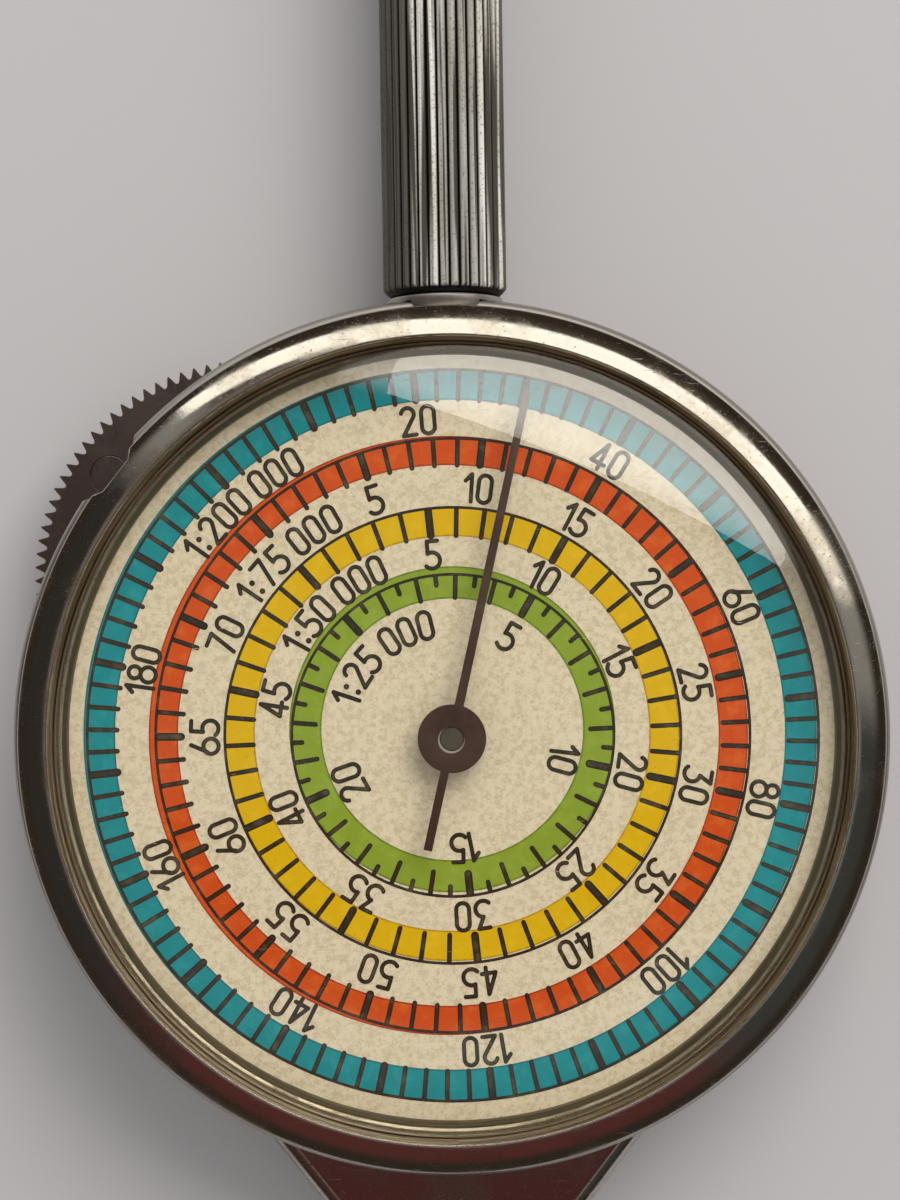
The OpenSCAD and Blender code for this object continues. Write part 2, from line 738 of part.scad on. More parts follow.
module rear_plate() {
    color("goldenrod") translate([0, 0, shell_t]) difference() {
        cylinder(r = plate_r, h = rear_plate_t);
        cylinder(r = bush_r, h = rear_plate_t);
        translate([0, inter_y, 0]) cylinder(r = pivot_r + running_gap, h = rear_plate_t);
        translate([setting_centre[0], setting_centre[1], 0])
            cylinder(r = stud_foot_r, h = rear_plate_t);
        at_pillars() cylinder(r = screw_r, h = rear_plate_t);
    }
}

module front_plate() {
    color("goldenrod") translate([0, 0, front_plate_z]) difference() {
        cylinder(r = plate_r, h = front_plate_t);
        cylinder(r = bush_r, h = front_plate_t);
        translate([0, inter_y, 0]) cylinder(r = pivot_r + running_gap, h = front_plate_t);
        for (side = [-1, 1]) translate([side * dial_foot_at, 0, 0])
            cylinder(r = dial_foot_r, h = front_plate_t);
        at_pillars() translate([0, 0, front_plate_t]) countersink(front_plate_t);
    }
}

module rear_bush() {
    color("darkgoldenrod") translate([0, 0, shell_t]) difference() {
        cylinder(r = bush_r, h = rear_plate_t);
        cylinder(r = pivot_r + running_gap, h = rear_plate_t);
    }
}

module front_bush() {
    color("darkgoldenrod") translate([0, 0, front_plate_z]) difference() {
        cylinder(r = bush_r, h = front_plate_t);
        cylinder(r = arbor_r + running_gap, h = front_plate_t);
    }
}

module pillars() {
    color("goldenrod") at_pillars() translate([0, 0, rear_plate_top]) difference() {
        cylinder(r = pillar_r, h = pillar_l);
        cylinder(r = screw_r, h = screw_l - rear_plate_t);
        translate([0, 0, pillar_l - screw_l]) cylinder(r = screw_r, h = screw_l);
    }
}

module plate_screws() {
    color("silver") at_pillars() translate([0, 0, dial_seat_z]) flat_screw(front_plate_t);
}

module case_screws() {
    color("silver") at_pillars() rotate([180, 0, 0]) flat_screw(shell_t);
}

// ---- Intermediate arbor ----

module intermediate_arbor() {
    low = rear_plate_top + end_play;
    high = front_plate_z - end_play;
    color("lightslategray") translate([0, inter_y, 0]) {
        translate([0, 0, shell_t + end_play]) cylinder(r = pivot_r, h = low - shell_t);
        translate([0, 0, low]) cylinder(r = inter_arbor_r, h = high - low);
        translate([0, 0, high]) cylinder(r = pivot_r, h = front_plate_t);
    }
}

module intermediate_collet() {
    color("goldenrod") translate([0, inter_y, inter_z - inter_collet_t]) difference() {
        cylinder(r = inter_collet_r, h = inter_collet_t);
        cylinder(r = inter_arbor_r, h = inter_collet_t);
    }
}

module intermediate_wheel() {
    rim_r = lower_module * inter_teeth / 2 - inter_rim_w;
    color("goldenrod") translate([0, inter_y, inter_z]) difference() {
        gear(inter_teeth, lower_module, inter_t, inter_tooth, wheel_tooth);
        spoke_windows(inter_collet_r + wheel_hub_w, rim_r, inter_t);
        cylinder(r = inter_arbor_r, h = inter_t);
    }
}

module intermediate_pinion() {
    color("slategray") translate([0, inter_y, inter_pinion_z]) difference() {
        gear(inter_pinion_teeth, upper_module, inter_pinion_l, inter_pinion_tooth, leaf_tooth);
        cylinder(r = inter_arbor_r, h = inter_pinion_l);
    }
}

// ---- Idler ----

module idler_wheel() {
    color("goldenrod") translate([0, idler_y, idler_z]) difference() {
        gear(idler_teeth, lower_module, idler_t, idler_tooth, wheel_tooth);
        cylinder(r = axle_r + running_gap, h = idler_t);
    }
}

// Shank in the nose from the height z up, with a low riveted head in front
module nose_shank(z) {
    translate([0, 0, z]) cylinder(r = axle_r, h = nose_h - z);
    translate([0, 0, nose_h]) cylinder(r1 = rivet_r, r2 = axle_r, h = rivet_h);
}

module idler_stud() {
    color("lightslategray") translate([0, idler_y, 0]) {
        nose_shank(idler_shoulder_z);
        translate([0, 0, idler_shoulder_z])
            cylinder(r = idler_shoulder_r, h = idler_shoulder_t);
    }
}

// ---- Tracking wheel ----

function track_outline() = [for (i = [0:2 * track_notches - 1])
    polar(track_r - (i % 2) * track_notch_d, i * 180 / track_notches)];

module tracking_wheel() {
    color("dimgray") translate([0, track_y, track_z]) difference() {
        linear_extrude(track_t) polygon(track_outline());
        cylinder(r = track_hub_r, h = track_t);
    }
}

module tracking_pinion() {
    color("slategray") translate([0, track_y, 0]) difference() {
        union() {
            translate([0, 0, track_z]) cylinder(r = track_hub_r, h = track_t);
            translate([0, 0, track_pinion_z])
                gear(track_teeth, lower_module, track_pinion_l, track_tooth, leaf_tooth);
        }
        translate([0, 0, track_z])
            cylinder(r = axle_r + running_gap, h = track_t + track_pinion_l);
    }
}

module tracking_spacer() {
    color("goldenrod") translate([0, track_y, shell_t]) difference() {
        cylinder(r = track_spacer_r, h = track_z - end_play - shell_t);
        cylinder(r = axle_r, h = track_z);
    }
}

module tracking_axle() {
    color("lightslategray") translate([0, track_y, 0]) {
        cylinder(r1 = rivet_r, r2 = axle_r, h = shell_t);
        nose_shank(0);
    }
}

// ---- Handle ----

grip_y = case_r + boss_l + handle_gap;

module along_handle(y) {
    translate([0, y, handle_z]) rotate([-90, 0, 0]) children();
}

// Collar that sits over the case's shoulder, with a tail in the wall and the grip's spigot
module handle_boss() {
    inner_y = bezel_r + seat_gap;
    outer_y = case_r + boss_l;
    color("silver") difference() {
        union() {
            along_handle(0) rotate_extrude() {
                translate([0, inner_y]) square([boss_r - boss_round, outer_y - inner_y]);
                translate([0, inner_y + boss_round])
                    square([boss_r, outer_y - inner_y - 2 * boss_round]);
                for (y = [inner_y + boss_round, outer_y - boss_round])
                    translate([boss_r - boss_round, y]) circle(r = boss_round);
                square([tail_r, case_r]);
            }
            along_handle(case_r) cylinder(r = spigot_r, h = boss_l + handle_gap + spigot_l);
        }
        difference() {
            translate([0, 0, -over]) cylinder(r = case_r, h = band_top_z + over);
            along_handle(0) cylinder(r = tail_r, h = case_r);
        }
        cylinder(r = band_in_r, h = band_top_z + case_r);
    }
}

function flute_outline() = [for (i = [0:2 * flutes - 1])
    polar(handle_r - (i % 2) * flute_d, i * 180 / flutes)];

module handle_grip() {
    inner = handle_r - handle_bevel;
    outer = handle_r + over;
    color("silver") along_handle(grip_y) difference() {
        intersection() {
            linear_extrude(handle_l) polygon(flute_outline());
            rotate_extrude() polygon([
                [0, 0], [inner, 0], [outer, outer - inner], [outer, handle_l - outer + inner],
                [inner, handle_l], [0, handle_l]]);
        }
        cylinder(r = spigot_r, h = spigot_l);
    }
}

rear_case();
front_case();
bezel();
crystal();
spacer_ring();
dial_plate();
dial_print();
hand();
hand_arbor();
centre_pinion();
centre_wheel();
friction_spring();
clutch_collet();
setting_wheel();
setting_stud();
setting_screw();
rear_plate();
front_plate();
rear_bush();
front_bush();
pillars();
plate_screws();
case_screws();
intermediate_arbor();
intermediate_collet();
intermediate_wheel();
intermediate_pinion();
idler_wheel();
idler_stud();
tracking_wheel();
tracking_pinion();
tracking_spacer();
tracking_axle();
handle_boss();
handle_grip();
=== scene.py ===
"""Looks of a map measurer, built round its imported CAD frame.

Sizes are millimetres in the part's own frame: +Y runs up the handle and +Z out of the dial.
A clock angle runs clockwise from +Y, as the dial is read. Meshes are written in metres.
"""

from __future__ import annotations

import logging
import math
from dataclasses import dataclass, field
from enum import Enum
from typing import Callable, Iterable, Sequence

import bmesh
import bpy
import numpy as np
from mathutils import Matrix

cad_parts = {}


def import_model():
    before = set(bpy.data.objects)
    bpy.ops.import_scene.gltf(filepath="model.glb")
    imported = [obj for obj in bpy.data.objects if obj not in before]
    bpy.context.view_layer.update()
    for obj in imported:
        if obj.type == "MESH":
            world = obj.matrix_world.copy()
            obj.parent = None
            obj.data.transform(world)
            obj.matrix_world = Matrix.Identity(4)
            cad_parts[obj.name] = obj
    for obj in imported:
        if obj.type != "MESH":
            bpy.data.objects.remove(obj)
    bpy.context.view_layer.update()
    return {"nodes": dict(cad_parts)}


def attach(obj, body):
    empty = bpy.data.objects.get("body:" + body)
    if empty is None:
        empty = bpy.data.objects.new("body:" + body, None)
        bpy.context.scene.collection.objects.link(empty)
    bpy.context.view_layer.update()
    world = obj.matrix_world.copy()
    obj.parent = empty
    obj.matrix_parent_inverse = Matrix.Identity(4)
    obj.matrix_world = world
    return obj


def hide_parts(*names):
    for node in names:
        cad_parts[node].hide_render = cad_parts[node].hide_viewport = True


log = logging.getLogger("map_measurer")

MM = 0.001
Point = tuple[float, float]
Colour = tuple[float, float, float]

# Sizes that more than one sub-assembly needs.
CASE_R = 17.5
CASE_TOP_Z = 5.9
CLEAR_Z = 9.0
DIAL_Z = 5.45
HANDLE_Z = 4.0
TAIL_R = 1.0
NOTCH_AT = 141.0
NOTCH_R = 16.8
NOTCH_W = 1.6
NOTCH_FLARE = 55.0
SETTING_AT: Point = (-8.11340, 6.57011)


# ---- Mesh tools ----


@dataclass
class Patch:
    """A flat piece of surface: points, faces and how near each point is to the edge."""

    points: np.ndarray
    faces: list[tuple[int, ...]]
    press: np.ndarray

    def rim(self) -> list[tuple[int, int]]:
        """Returns the directed edges that only one face has."""
        edges = {(f[i], f[(i + 1) % len(f)]) for f in self.faces for i in range(len(f))}
        return [edge for edge in sorted(edges) if (edge[1], edge[0]) not in edges]

    def moved(self, place: Callable[[np.ndarray], np.ndarray]) -> "Patch":
        """Returns a copy whose points went through the function `place`."""
        return Patch(place(self.points), self.faces, self.press)


@dataclass
class Mould:
    """Points and faces of a mesh in the making, in millimetres."""

    name: str
    points: list[np.ndarray] = field(default_factory=list)
    faces: list[tuple[int, ...]] = field(default_factory=list)
    press: list[np.ndarray] = field(default_factory=list)
    count: int = 0

    def add(
        self,
        points: np.ndarray,
        faces: Iterable[Sequence[int]],
        press: np.ndarray | None = None,
    ) -> None:
        """Adds points and the faces between them.

        Args:
            points: the new points, one row each.
            faces: indices into the new points.
            press: how near each point is to the edge of its ink, from 0 to 1.
        """
        start = self.count
        self.points.append(np.asarray(points, float))
        self.press.append(np.zeros(len(points)) if press is None else press)
        self.faces.extend(tuple(start + i for i in face) for face in faces)
        self.count += len(points)

    def spin(
        self,
        radii: np.ndarray,
        heights: np.ndarray,
        angles: np.ndarray,
        closed: bool = True,
    ) -> None:
        """Turns rings of points about the Z axis into a surface.

        Args:
            radii: radius of each ring at each angle, one row per ring.
            heights: height of each ring, or of each of its points.
            angles: angles from +X in radians, without the last that closes the turn.
            closed: whether the last ring joins the first one.
        """
        rings, steps = len(radii), len(angles)
        r = np.broadcast_to(
            np.asarray(radii, float).reshape(rings, -1), (rings, steps)
        )
        z = np.broadcast_to(
            np.asarray(heights, float).reshape(rings, -1), (rings, steps)
        )
        points = np.stack([r * np.cos(angles), r * np.sin(angles), z], -1).reshape(
            -1, 3
        )
        faces = [
            (
                k * steps + i,
                k * steps + (i + 1) % steps,
                (k + 1) % rings * steps + (i + 1) % steps,
                (k + 1) % rings * steps + i,
            )
            for k in range(rings if closed else rings - 1)
            for i in range(steps)
        ]
        self.add(points, [face[::-1] for face in faces])

    def turn(
        self, profile: Sequence[Point], steps: int = 360, closed: bool = True
    ) -> None:
        """Turns a profile of (radius, height) points about the Z axis."""
        outline = np.array(profile, float)
        self.spin(outline[:, 0], outline[:, 1], circle(steps), closed)

    def stamp(self, patch: Patch, low: float, high: float) -> None:
        """Makes a patch into a thin closed slab.

        Args:
            patch: outline and faces of the slab.
            low: height of its underside.
            high: height of its top.
        """
        n = len(patch.points)
        top = np.column_stack([patch.points, np.full(n, high)])
        base = np.column_stack([patch.points, np.full(n, low)])
        under = [tuple(i + n for i in reversed(face)) for face in patch.faces]
        sides = [(b, a, a + n, b + n) for a, b in patch.rim()]
        self.add(
            np.vstack([top, base]),
            [*patch.faces, *under, *sides],
            np.concatenate([patch.press, patch.press]),
        )

    def prism(self, outline: Sequence[Point], low: float, high: float) -> None:
        """Makes a slab from one outline that runs anticlockwise."""
        n = len(outline)
        self.stamp(
            Patch(np.array(outline, float), [tuple(range(n))], np.zeros(n)), low, high
        )

    def cast(self, crease: float = 30.0, with_press: bool = False) -> bpy.types.Object:
        """Makes the Blender object.

        Args:
            crease: edges sharper than this many degrees stay sharp.
            with_press: whether the mesh keeps each point's nearness to the edge.

        Returns:
            The new object, in metres.
        """
        mesh = bpy.data.meshes.new(self.name)
        mesh.from_pydata((np.vstack(self.points) * MM).tolist(), [], self.faces)
        if with_press:
            layer = mesh.attributes.new("press", "FLOAT", "POINT")
            layer.data.foreach_set(
                "value", np.concatenate(self.press).astype(np.float32)
            )
        piece = bpy.data.objects.new(self.name, mesh)
        bpy.context.scene.collection.objects.link(piece)
        tidy(piece)
        soften(piece, crease)
        return piece


def circle(steps: int) -> np.ndarray:
    """Returns angles of one whole turn, evenly spaced."""
    return np.arange(steps) * (math.tau / steps)


def tidy(piece: bpy.types.Object) -> None:
    """Joins points that coincide and turns all faces outwards."""
    work = bmesh.new()
    work.from_mesh(piece.data)
    bmesh.ops.remove_doubles(work, verts=work.verts, dist=2e-8)
    bmesh.ops.recalc_face_normals(work, faces=work.faces)
    work.to_mesh(piece.data)
    work.free()


def soften(piece: bpy.types.Object, crease: float) -> None:
    """Shades a piece smoothly except over edges sharper than `crease` degrees."""
    piece.data.shade_smooth()
    piece.data.set_sharp_from_angle(angle=math.radians(crease))


def settle(piece: bpy.types.Object) -> None:
    """Applies the piece's modifiers to its mesh."""
    graph = bpy.context.evaluated_depsgraph_get()
    mesh = bpy.data.meshes.new_from_object(piece.evaluated_get(graph))
    piece.modifiers.clear()
    old, piece.data = piece.data, mesh
    bpy.data.meshes.remove(old)
    piece.data.name = piece.name


def join(piece: bpy.types.Object, other: bpy.types.Object, operation: str) -> None:
    """Unites two closed pieces, or cuts the other out, and deletes the other."""
    change = piece.modifiers.new("join", "BOOLEAN")
    change.operation = operation
    change.solver = "MANIFOLD"
    change.object = other
    bpy.context.view_layer.update()
    settle(piece)
    bpy.data.objects.remove(other)


def carve(piece: bpy.types.Object, cutter: bpy.types.Object) -> None:
    """Cuts one closed piece out of another and deletes the cutter."""
    join(piece, cutter, "DIFFERENCE")


def even_out(piece: bpy.types.Object, crease: float) -> None:
    """Lets large flat faces set the normals round them, so that they shade flat."""
    soften(piece, crease)
    weigh = piece.modifiers.new("normals", "WEIGHTED_NORMAL")
    weigh.keep_sharp = True
    bpy.context.view_layer.update()
    settle(piece)


def cylinder(
    name: str, radius: float, low: float, high: float, steps: int = 96
) -> bpy.types.Object:
    """Returns a closed upright cylinder on the Z axis."""
    mould = Mould(name)
    mould.turn([(0.0, low), (radius, low), (radius, high), (0.0, high)], steps, closed=False)
    return mould.cast()


def slab(name: str, outline: Sequence[Point], low: float, high: float) -> bpy.types.Object:
    """Returns an upright prism of an outline that runs anticlockwise."""
    mould = Mould(name)
    mould.prism(outline, low, high)
    return mould.cast()


def post(
    name: str, radius: float, low: float, high: float, at: Point = (0.0, 0.0), steps: int = 96
) -> bpy.types.Object:
    """Returns an upright many-sided prism round the point `at`."""
    return slab(name, arc(at, radius, 0, 360 - 360 / steps, steps - 1), low, high)


def slide(piece: bpy.types.Object, by: Point) -> None:
    """Moves a piece's mesh across by so many millimetres."""
    for vertex in piece.data.vertices:
        vertex.co.x += by[0] * MM
        vertex.co.y += by[1] * MM


def lay_along_y(piece: bpy.types.Object, start: float = 0.0) -> None:
    """Turns a piece made along Z so that it runs along the handle from `start`."""
    for vertex in piece.data.vertices:
        x, y, z = vertex.co
        vertex.co = (x, z + start * MM, HANDLE_Z * MM - y)
    tidy(piece)


def ease_edges(
    piece: bpy.types.Object, width: float, limit: float = 35.0, steps: int = 3
) -> None:
    """Rounds a piece's edges.

    Args:
        piece: the piece.
        width: width of the rounding in millimetres.
        limit: edges sharper than this many degrees are rounded.
        steps: faces across each rounding.
    """
    bevel = piece.modifiers.new("round", "BEVEL")
    bevel.width = width * MM
    bevel.segments = steps
    bevel.limit_method = "ANGLE"
    bevel.angle_limit = math.radians(limit)
    bevel.use_clamp_overlap = True
    bpy.context.view_layer.update()
    settle(piece)
    soften(piece, limit)


def rounded(
    corners: Sequence[tuple[float, float, float]], steps: int = 6
) -> list[Point]:
    """Fillets the corners of a closed outline.

    Args:
        corners: across, up and fillet radius of each corner.
        steps: faces across a fillet.

    Returns:
        The points of the filleted outline.
    """
    outline: list[Point] = []
    for i, (x, y, radius) in enumerate(corners):
        if radius <= 0:
            outline.append((x, y))
            continue
        here = np.array([x, y])
        before = np.array(corners[i - 1][:2]) - here
        after = np.array(corners[(i + 1) % len(corners)][:2]) - here
        u, v = before / np.linalg.norm(before), after / np.linalg.norm(after)
        half = math.acos(float(np.clip(u @ v, -1, 1))) / 2
        middle = here + (u + v) / np.linalg.norm(u + v) * radius / math.sin(half)
        start = here + u * radius / math.tan(half) - middle
        turn = math.pi - 2 * half
        way = math.copysign(turn, start[0] * v[1] - start[1] * v[0])
        for k in range(steps + 1):
            c, s = math.cos(way * k / steps), math.sin(way * k / steps)
            spot = middle + np.array(
                [c * start[0] - s * start[1], s * start[0] + c * start[1]]
            )
            outline.append((float(spot[0]), float(spot[1])))
    return outline


def arc(
    centre: Point, radius: float, start: float, end: float, steps: int
) -> list[Point]:
    """Returns points of an arc between two angles in degrees."""
    return [
        (
            centre[0] + radius * math.cos(math.radians(start + (end - start) * i / steps)),
            centre[1] + radius * math.sin(math.radians(start + (end - start) * i / steps)),
        )
        for i in range(steps + 1)
    ]


def contour(
    distance: Callable[[np.ndarray], np.ndarray],
    low: Point,
    high: Point,
    step: float,
    depth: float,
) -> Patch:
    """Fills the area where a distance function is below zero.

    Args:
        distance: signed distance of each row of points to the area's edge.
        low: lowest corner of the grid.
        high: highest corner of the grid.
        step: size of the grid's cells.
        depth: distance inside the edge at which the press value has fallen to 0.

    Returns:
        The filled area.
    """
    xs = np.arange(low[0], high[0] + step, step)
    ys = np.arange(low[1], high[1] + step, step)
    grid = np.stack(np.meshgrid(xs, ys), -1)
    value = distance(grid.reshape(-1, 2)).reshape(len(ys), len(xs))
    nudge = 0.02 * step
    value[np.abs(value) < nudge] = -nudge
    points: list[np.ndarray] = []
    press: list[float] = []
    known: dict[tuple, int] = {}

    def corner(at: tuple[int, int]) -> int:
        """Returns the index of a grid point."""
        if at not in known:
            known[at] = len(points)
            points.append(grid[at])
            press.append(float(np.clip(1 + value[at] / depth, 0, 1)))
        return known[at]

    def crossing(a: tuple[int, int], b: tuple[int, int]) -> int:
        """Returns the index of the point where the edge crosses a grid line."""
        key = (min(a, b), max(a, b))
        if key not in known:
            share = value[a] / (value[a] - value[b])
            known[key] = len(points)
            points.append(grid[a] + (grid[b] - grid[a]) * share)
            press.append(1.0)
        return known[key]

    faces: list[tuple[int, ...]] = []
    for j in range(len(ys) - 1):
        for i in range(len(xs) - 1):
            square = [(j, i), (j, i + 1), (j + 1, i + 1), (j + 1, i)]
            inside = [value[at] < 0 for at in square]
            if all(inside):
                faces.append(tuple(corner(at) for at in square))
                continue
            if not any(inside):
                continue
            for triangle in (square[:3], [square[0], square[2], square[3]]):
                face: list[int] = []
                for k in range(3):
                    a, b = triangle[k], triangle[(k + 1) % 3]
                    if value[a] < 0:
                        face.append(corner(a))
                    if (value[a] < 0) != (value[b] < 0):
                        face.append(crossing(a, b))
                if face:
                    faces.append(tuple(face))
    return Patch(np.array(points), faces, np.array(press))


# ---- Shader tools ----


class Graph:
    """Shader nodes of one material, world or group."""

    def __init__(self, tree: bpy.types.NodeTree) -> None:
        """Starts on a node tree."""
        self.tree = tree

    def add(
        self, kind: str, inputs: dict[str | int, object] | None = None, **settings: object
    ) -> bpy.types.Node:
        """Adds a node.

        Args:
            kind: Blender's name of the node type after "ShaderNode".
            inputs: a value or another node's output for each input.
            settings: the node's own properties.

        Returns:
            The new node.
        """
        node = self.tree.nodes.new("ShaderNode" + kind)
        for name, value in settings.items():
            setattr(node, name, value)
        for key, value in (inputs or {}).items():
            self.feed(node.inputs[key], value)
        return node

    def feed(self, socket: bpy.types.NodeSocket, value: object) -> None:
        """Joins an output to an input, or sets the input's value."""
        if isinstance(value, bpy.types.NodeSocket):
            self.tree.links.new(value, socket)
        elif isinstance(value, tuple) and socket.type == "RGBA":
            socket.default_value = (*value, 1.0)
        else:
            socket.default_value = value

    def math(self, operation: str, a: object, b: object = 0.0) -> bpy.types.NodeSocket:
        """Returns the outcome of a calculation on two values."""
        return self.add("Math", {0: a, 1: b}, operation=operation).outputs[0]

    def plus(self, a: object, b: object) -> bpy.types.NodeSocket:
        """Returns the sum of two values."""
        return self.math("ADD", a, b)

    def minus(self, a: object, b: object) -> bpy.types.NodeSocket:
        """Returns the first value less the second."""
        return self.math("SUBTRACT", a, b)

    def times(self, a: object, b: object) -> bpy.types.NodeSocket:
        """Returns the product of two values."""
        return self.math("MULTIPLY", a, b)

    def larger(self, a: object, b: object) -> bpy.types.NodeSocket:
        """Returns the larger of two values."""
        return self.math("MAXIMUM", a, b)

    def climb(self, value: object, start: object, width: object) -> bpy.types.NodeSocket:
        """Returns a value that rises evenly from 0 at `start` to 1, over `width`."""
        share = self.math("DIVIDE", self.minus(value, start), width)
        return self.math("MINIMUM", self.larger(share, 0.0), 1.0)

    def reach(self, x: object, y: object) -> bpy.types.NodeSocket:
        """Returns the distance of a flat point from the origin."""
        flat = self.add("CombineXYZ", {0: x, 1: y, 2: 0.0}).outputs[0]
        return self.add("VectorMath", {0: flat}, operation="LENGTH").outputs["Value"]

    def bump(self, height: object, millimetres: float) -> bpy.types.NodeSocket:
        """Returns a normal for a height map that is so many millimetres deep."""
        node = self.add(
            "Bump", {"Height": height, "Strength": 1.0, "Distance": millimetres * MM}
        )
        return node.outputs[0]

    def span(
        self, value: object, low: float, high: float, to_low: float = 0.0, to_high: float = 1.0
    ) -> bpy.types.NodeSocket:
        """Returns a value that rises smoothly from `to_low` to `to_high`."""
        node = self.add(
            "MapRange",
            {"Value": value, "From Min": low, "From Max": high, "To Min": to_low,
             "To Max": to_high},
            interpolation_type="SMOOTHSTEP",
        )
        return node.outputs[0]

    def mix(self, share: object, a: object, b: object) -> bpy.types.NodeSocket:
        """Returns a mix of two colours."""
        return self.add("Mix", {0: share, 6: a, 7: b}, data_type="RGBA").outputs[2]

    def noise(
        self, where: object, scale: float, detail: float = 3.0, roughness: float = 0.55
    ) -> bpy.types.NodeSocket:
        """Returns a noise value at a place given in millimetres."""
        node = self.add(
            "TexNoise",
            {"Vector": where, "Scale": scale, "Detail": detail, "Roughness": roughness},
        )
        return node.outputs[0]

    def millimetres(self) -> bpy.types.NodeSocket:
        """Returns the place on the piece in millimetres."""
        place = self.add("TexCoord").outputs["Object"]
        return self.add("VectorMath", {0: place, "Scale": 1 / MM}, operation="SCALE").outputs[0]

    def stretched(
        self, where: object, turn: float, scale: tuple[float, float, float]
    ) -> bpy.types.NodeSocket:
        """Returns a place turned about Z and stretched along its axes."""
        node = self.add(
            "Mapping", {"Vector": where, "Rotation": (0.0, 0.0, turn), "Scale": scale}
        )
        return node.outputs[0]


class Effect(Enum):
    """Surface effects that several finishes share."""

    WEAR = "Surface wear"
    SCRATCHES = "Fine scratches"
    PAPER_GRAIN = "Paper grain"
    INK_PRESS = "Pressed ink"
    TURNING = "Turning marks"


class Effects:
    """Builds each shared effect once and places it in materials."""

    def __init__(self) -> None:
        """Starts with no groups."""
        self.groups: dict[Effect, bpy.types.NodeTree] = {}
        self.makers: dict[Effect, Callable[[bpy.types.NodeTree], None]] = {
            Effect.WEAR: self.wear,
            Effect.SCRATCHES: self.scratches,
            Effect.PAPER_GRAIN: self.paper_grain,
            Effect.INK_PRESS: self.ink_press,
            Effect.TURNING: self.turning,
        }

    def place(
        self, graph: Graph, effect: Effect, **inputs: float
    ) -> bpy.types.bpy_prop_collection:
        """Places an effect in a material.

        Args:
            graph: the material's nodes.
            effect: which effect.
            inputs: its values, with _ for a space in their names.

        Returns:
            The outputs of the placed group.
        """
        if effect not in self.groups:
            tree = bpy.data.node_groups.new(effect.value, "ShaderNodeTree")
            self.makers[effect](tree)
            self.groups[effect] = tree
        node = graph.add("Group", node_tree=self.groups[effect])
        for name, value in inputs.items():
            node.inputs[name.replace("_", " ")].default_value = value
        return node.outputs

    @staticmethod
    def sockets(
        tree: bpy.types.NodeTree, ins: dict[str, float], outs: Sequence[str]
    ) -> tuple[Graph, bpy.types.Node, bpy.types.Node]:
        """Gives a group its inputs and outputs.

        Args:
            tree: the group.
            ins: name and first value of each input.
            outs: name of each output.

        Returns:
            The group's nodes, its input node and its output node.
        """
        for name, value in ins.items():
            socket = tree.interface.new_socket(
                name, in_out="INPUT", socket_type="NodeSocketFloat"
            )
            socket.default_value = value
        for name in outs:
            tree.interface.new_socket(name, in_out="OUTPUT", socket_type="NodeSocketFloat")
        return (
            Graph(tree),
            tree.nodes.new("NodeGroupInput"),
            tree.nodes.new("NodeGroupOutput"),
        )

    def wear(self, tree: bpy.types.NodeTree) -> None:
        """Builds pits, stains and a fine unevenness of plated metal."""
        graph, given, out = self.sockets(
            tree, {"Stain share": 0.5, "Pit share": 0.5}, ["Stain", "Pits", "Height"]
        )
        place = graph.millimetres()
        cloud = graph.noise(place, 0.35, 4.0, 0.6)
        grain = graph.noise(place, 9.0, 2.0, 0.6)
        fine = graph.noise(place, 4.0, 4.0, 0.7)
        lifted = graph.plus(cloud, graph.times(fine, 0.25))
        limit = graph.minus(0.72, graph.times(given.outputs[0], 0.3))
        stain = graph.climb(lifted, limit, 0.12)
        spots = graph.plus(grain, graph.times(cloud, 0.15))
        limit = graph.minus(0.78, graph.times(given.outputs[1], 0.2))
        pits = graph.climb(spots, limit, 0.05)
        height = graph.minus(grain, graph.times(pits, 0.6))
        for k, value in enumerate((stain, pits, height)):
            graph.feed(out.inputs[k], value)

    def scratches(self, tree: bpy.types.NodeTree) -> None:
        """Builds sparse thin lines that run several ways."""
        graph, given, out = self.sockets(tree, {"Share": 0.5}, ["Mask"])
        place = graph.millimetres()
        total: object = 0.0
        for turn, length in ((0.4, 0.25), (1.3, 0.3), (2.2, 0.2), (2.9, 0.35)):
            lines = graph.noise(graph.stretched(place, turn, (length, 14.0, 3.0)), 1.0, 2.0)
            total = graph.larger(total, lines)
        limit = graph.minus(0.8, graph.times(given.outputs[0], 0.14))
        graph.feed(out.inputs[0], graph.climb(total, limit, 0.03))

    def paper_grain(self, tree: bpy.types.NodeTree) -> None:
        """Builds specks, mottle and fibre height of aged paper."""
        graph, given, out = self.sockets(
            tree, {"Speck share": 0.5}, ["Mottle", "Specks", "Height"]
        )
        place = graph.millimetres()
        mottle = graph.noise(place, 4.5, 3.0, 0.7)
        fine = graph.noise(place, 7.0, 2.0, 0.6)
        limit = graph.minus(0.72, graph.times(given.outputs[0], 0.12))
        specks = graph.climb(fine, limit, 0.1)
        for k, value in enumerate((mottle, specks, fine)):
            graph.feed(out.inputs[k], value)

    def ink_press(self, tree: bpy.types.NodeTree) -> None:
        """Builds the darker outline and uneven cover of letterpress ink."""
        graph, given, out = self.sockets(tree, {"Edge start": 0.5}, ["Edge", "Cover"])
        press = graph.add("Attribute", attribute_name="press").outputs["Fac"]
        place = graph.millimetres()
        uneven = graph.noise(place, 5.0, 3.0, 0.6)
        shifted = graph.plus(press, graph.times(graph.minus(uneven, 0.5), 0.35))
        start = given.outputs[0]
        graph.feed(out.inputs[0], graph.climb(shifted, start, graph.minus(1.02, start)))
        graph.feed(out.inputs[1], graph.noise(place, 1.6, 3.0, 0.6))

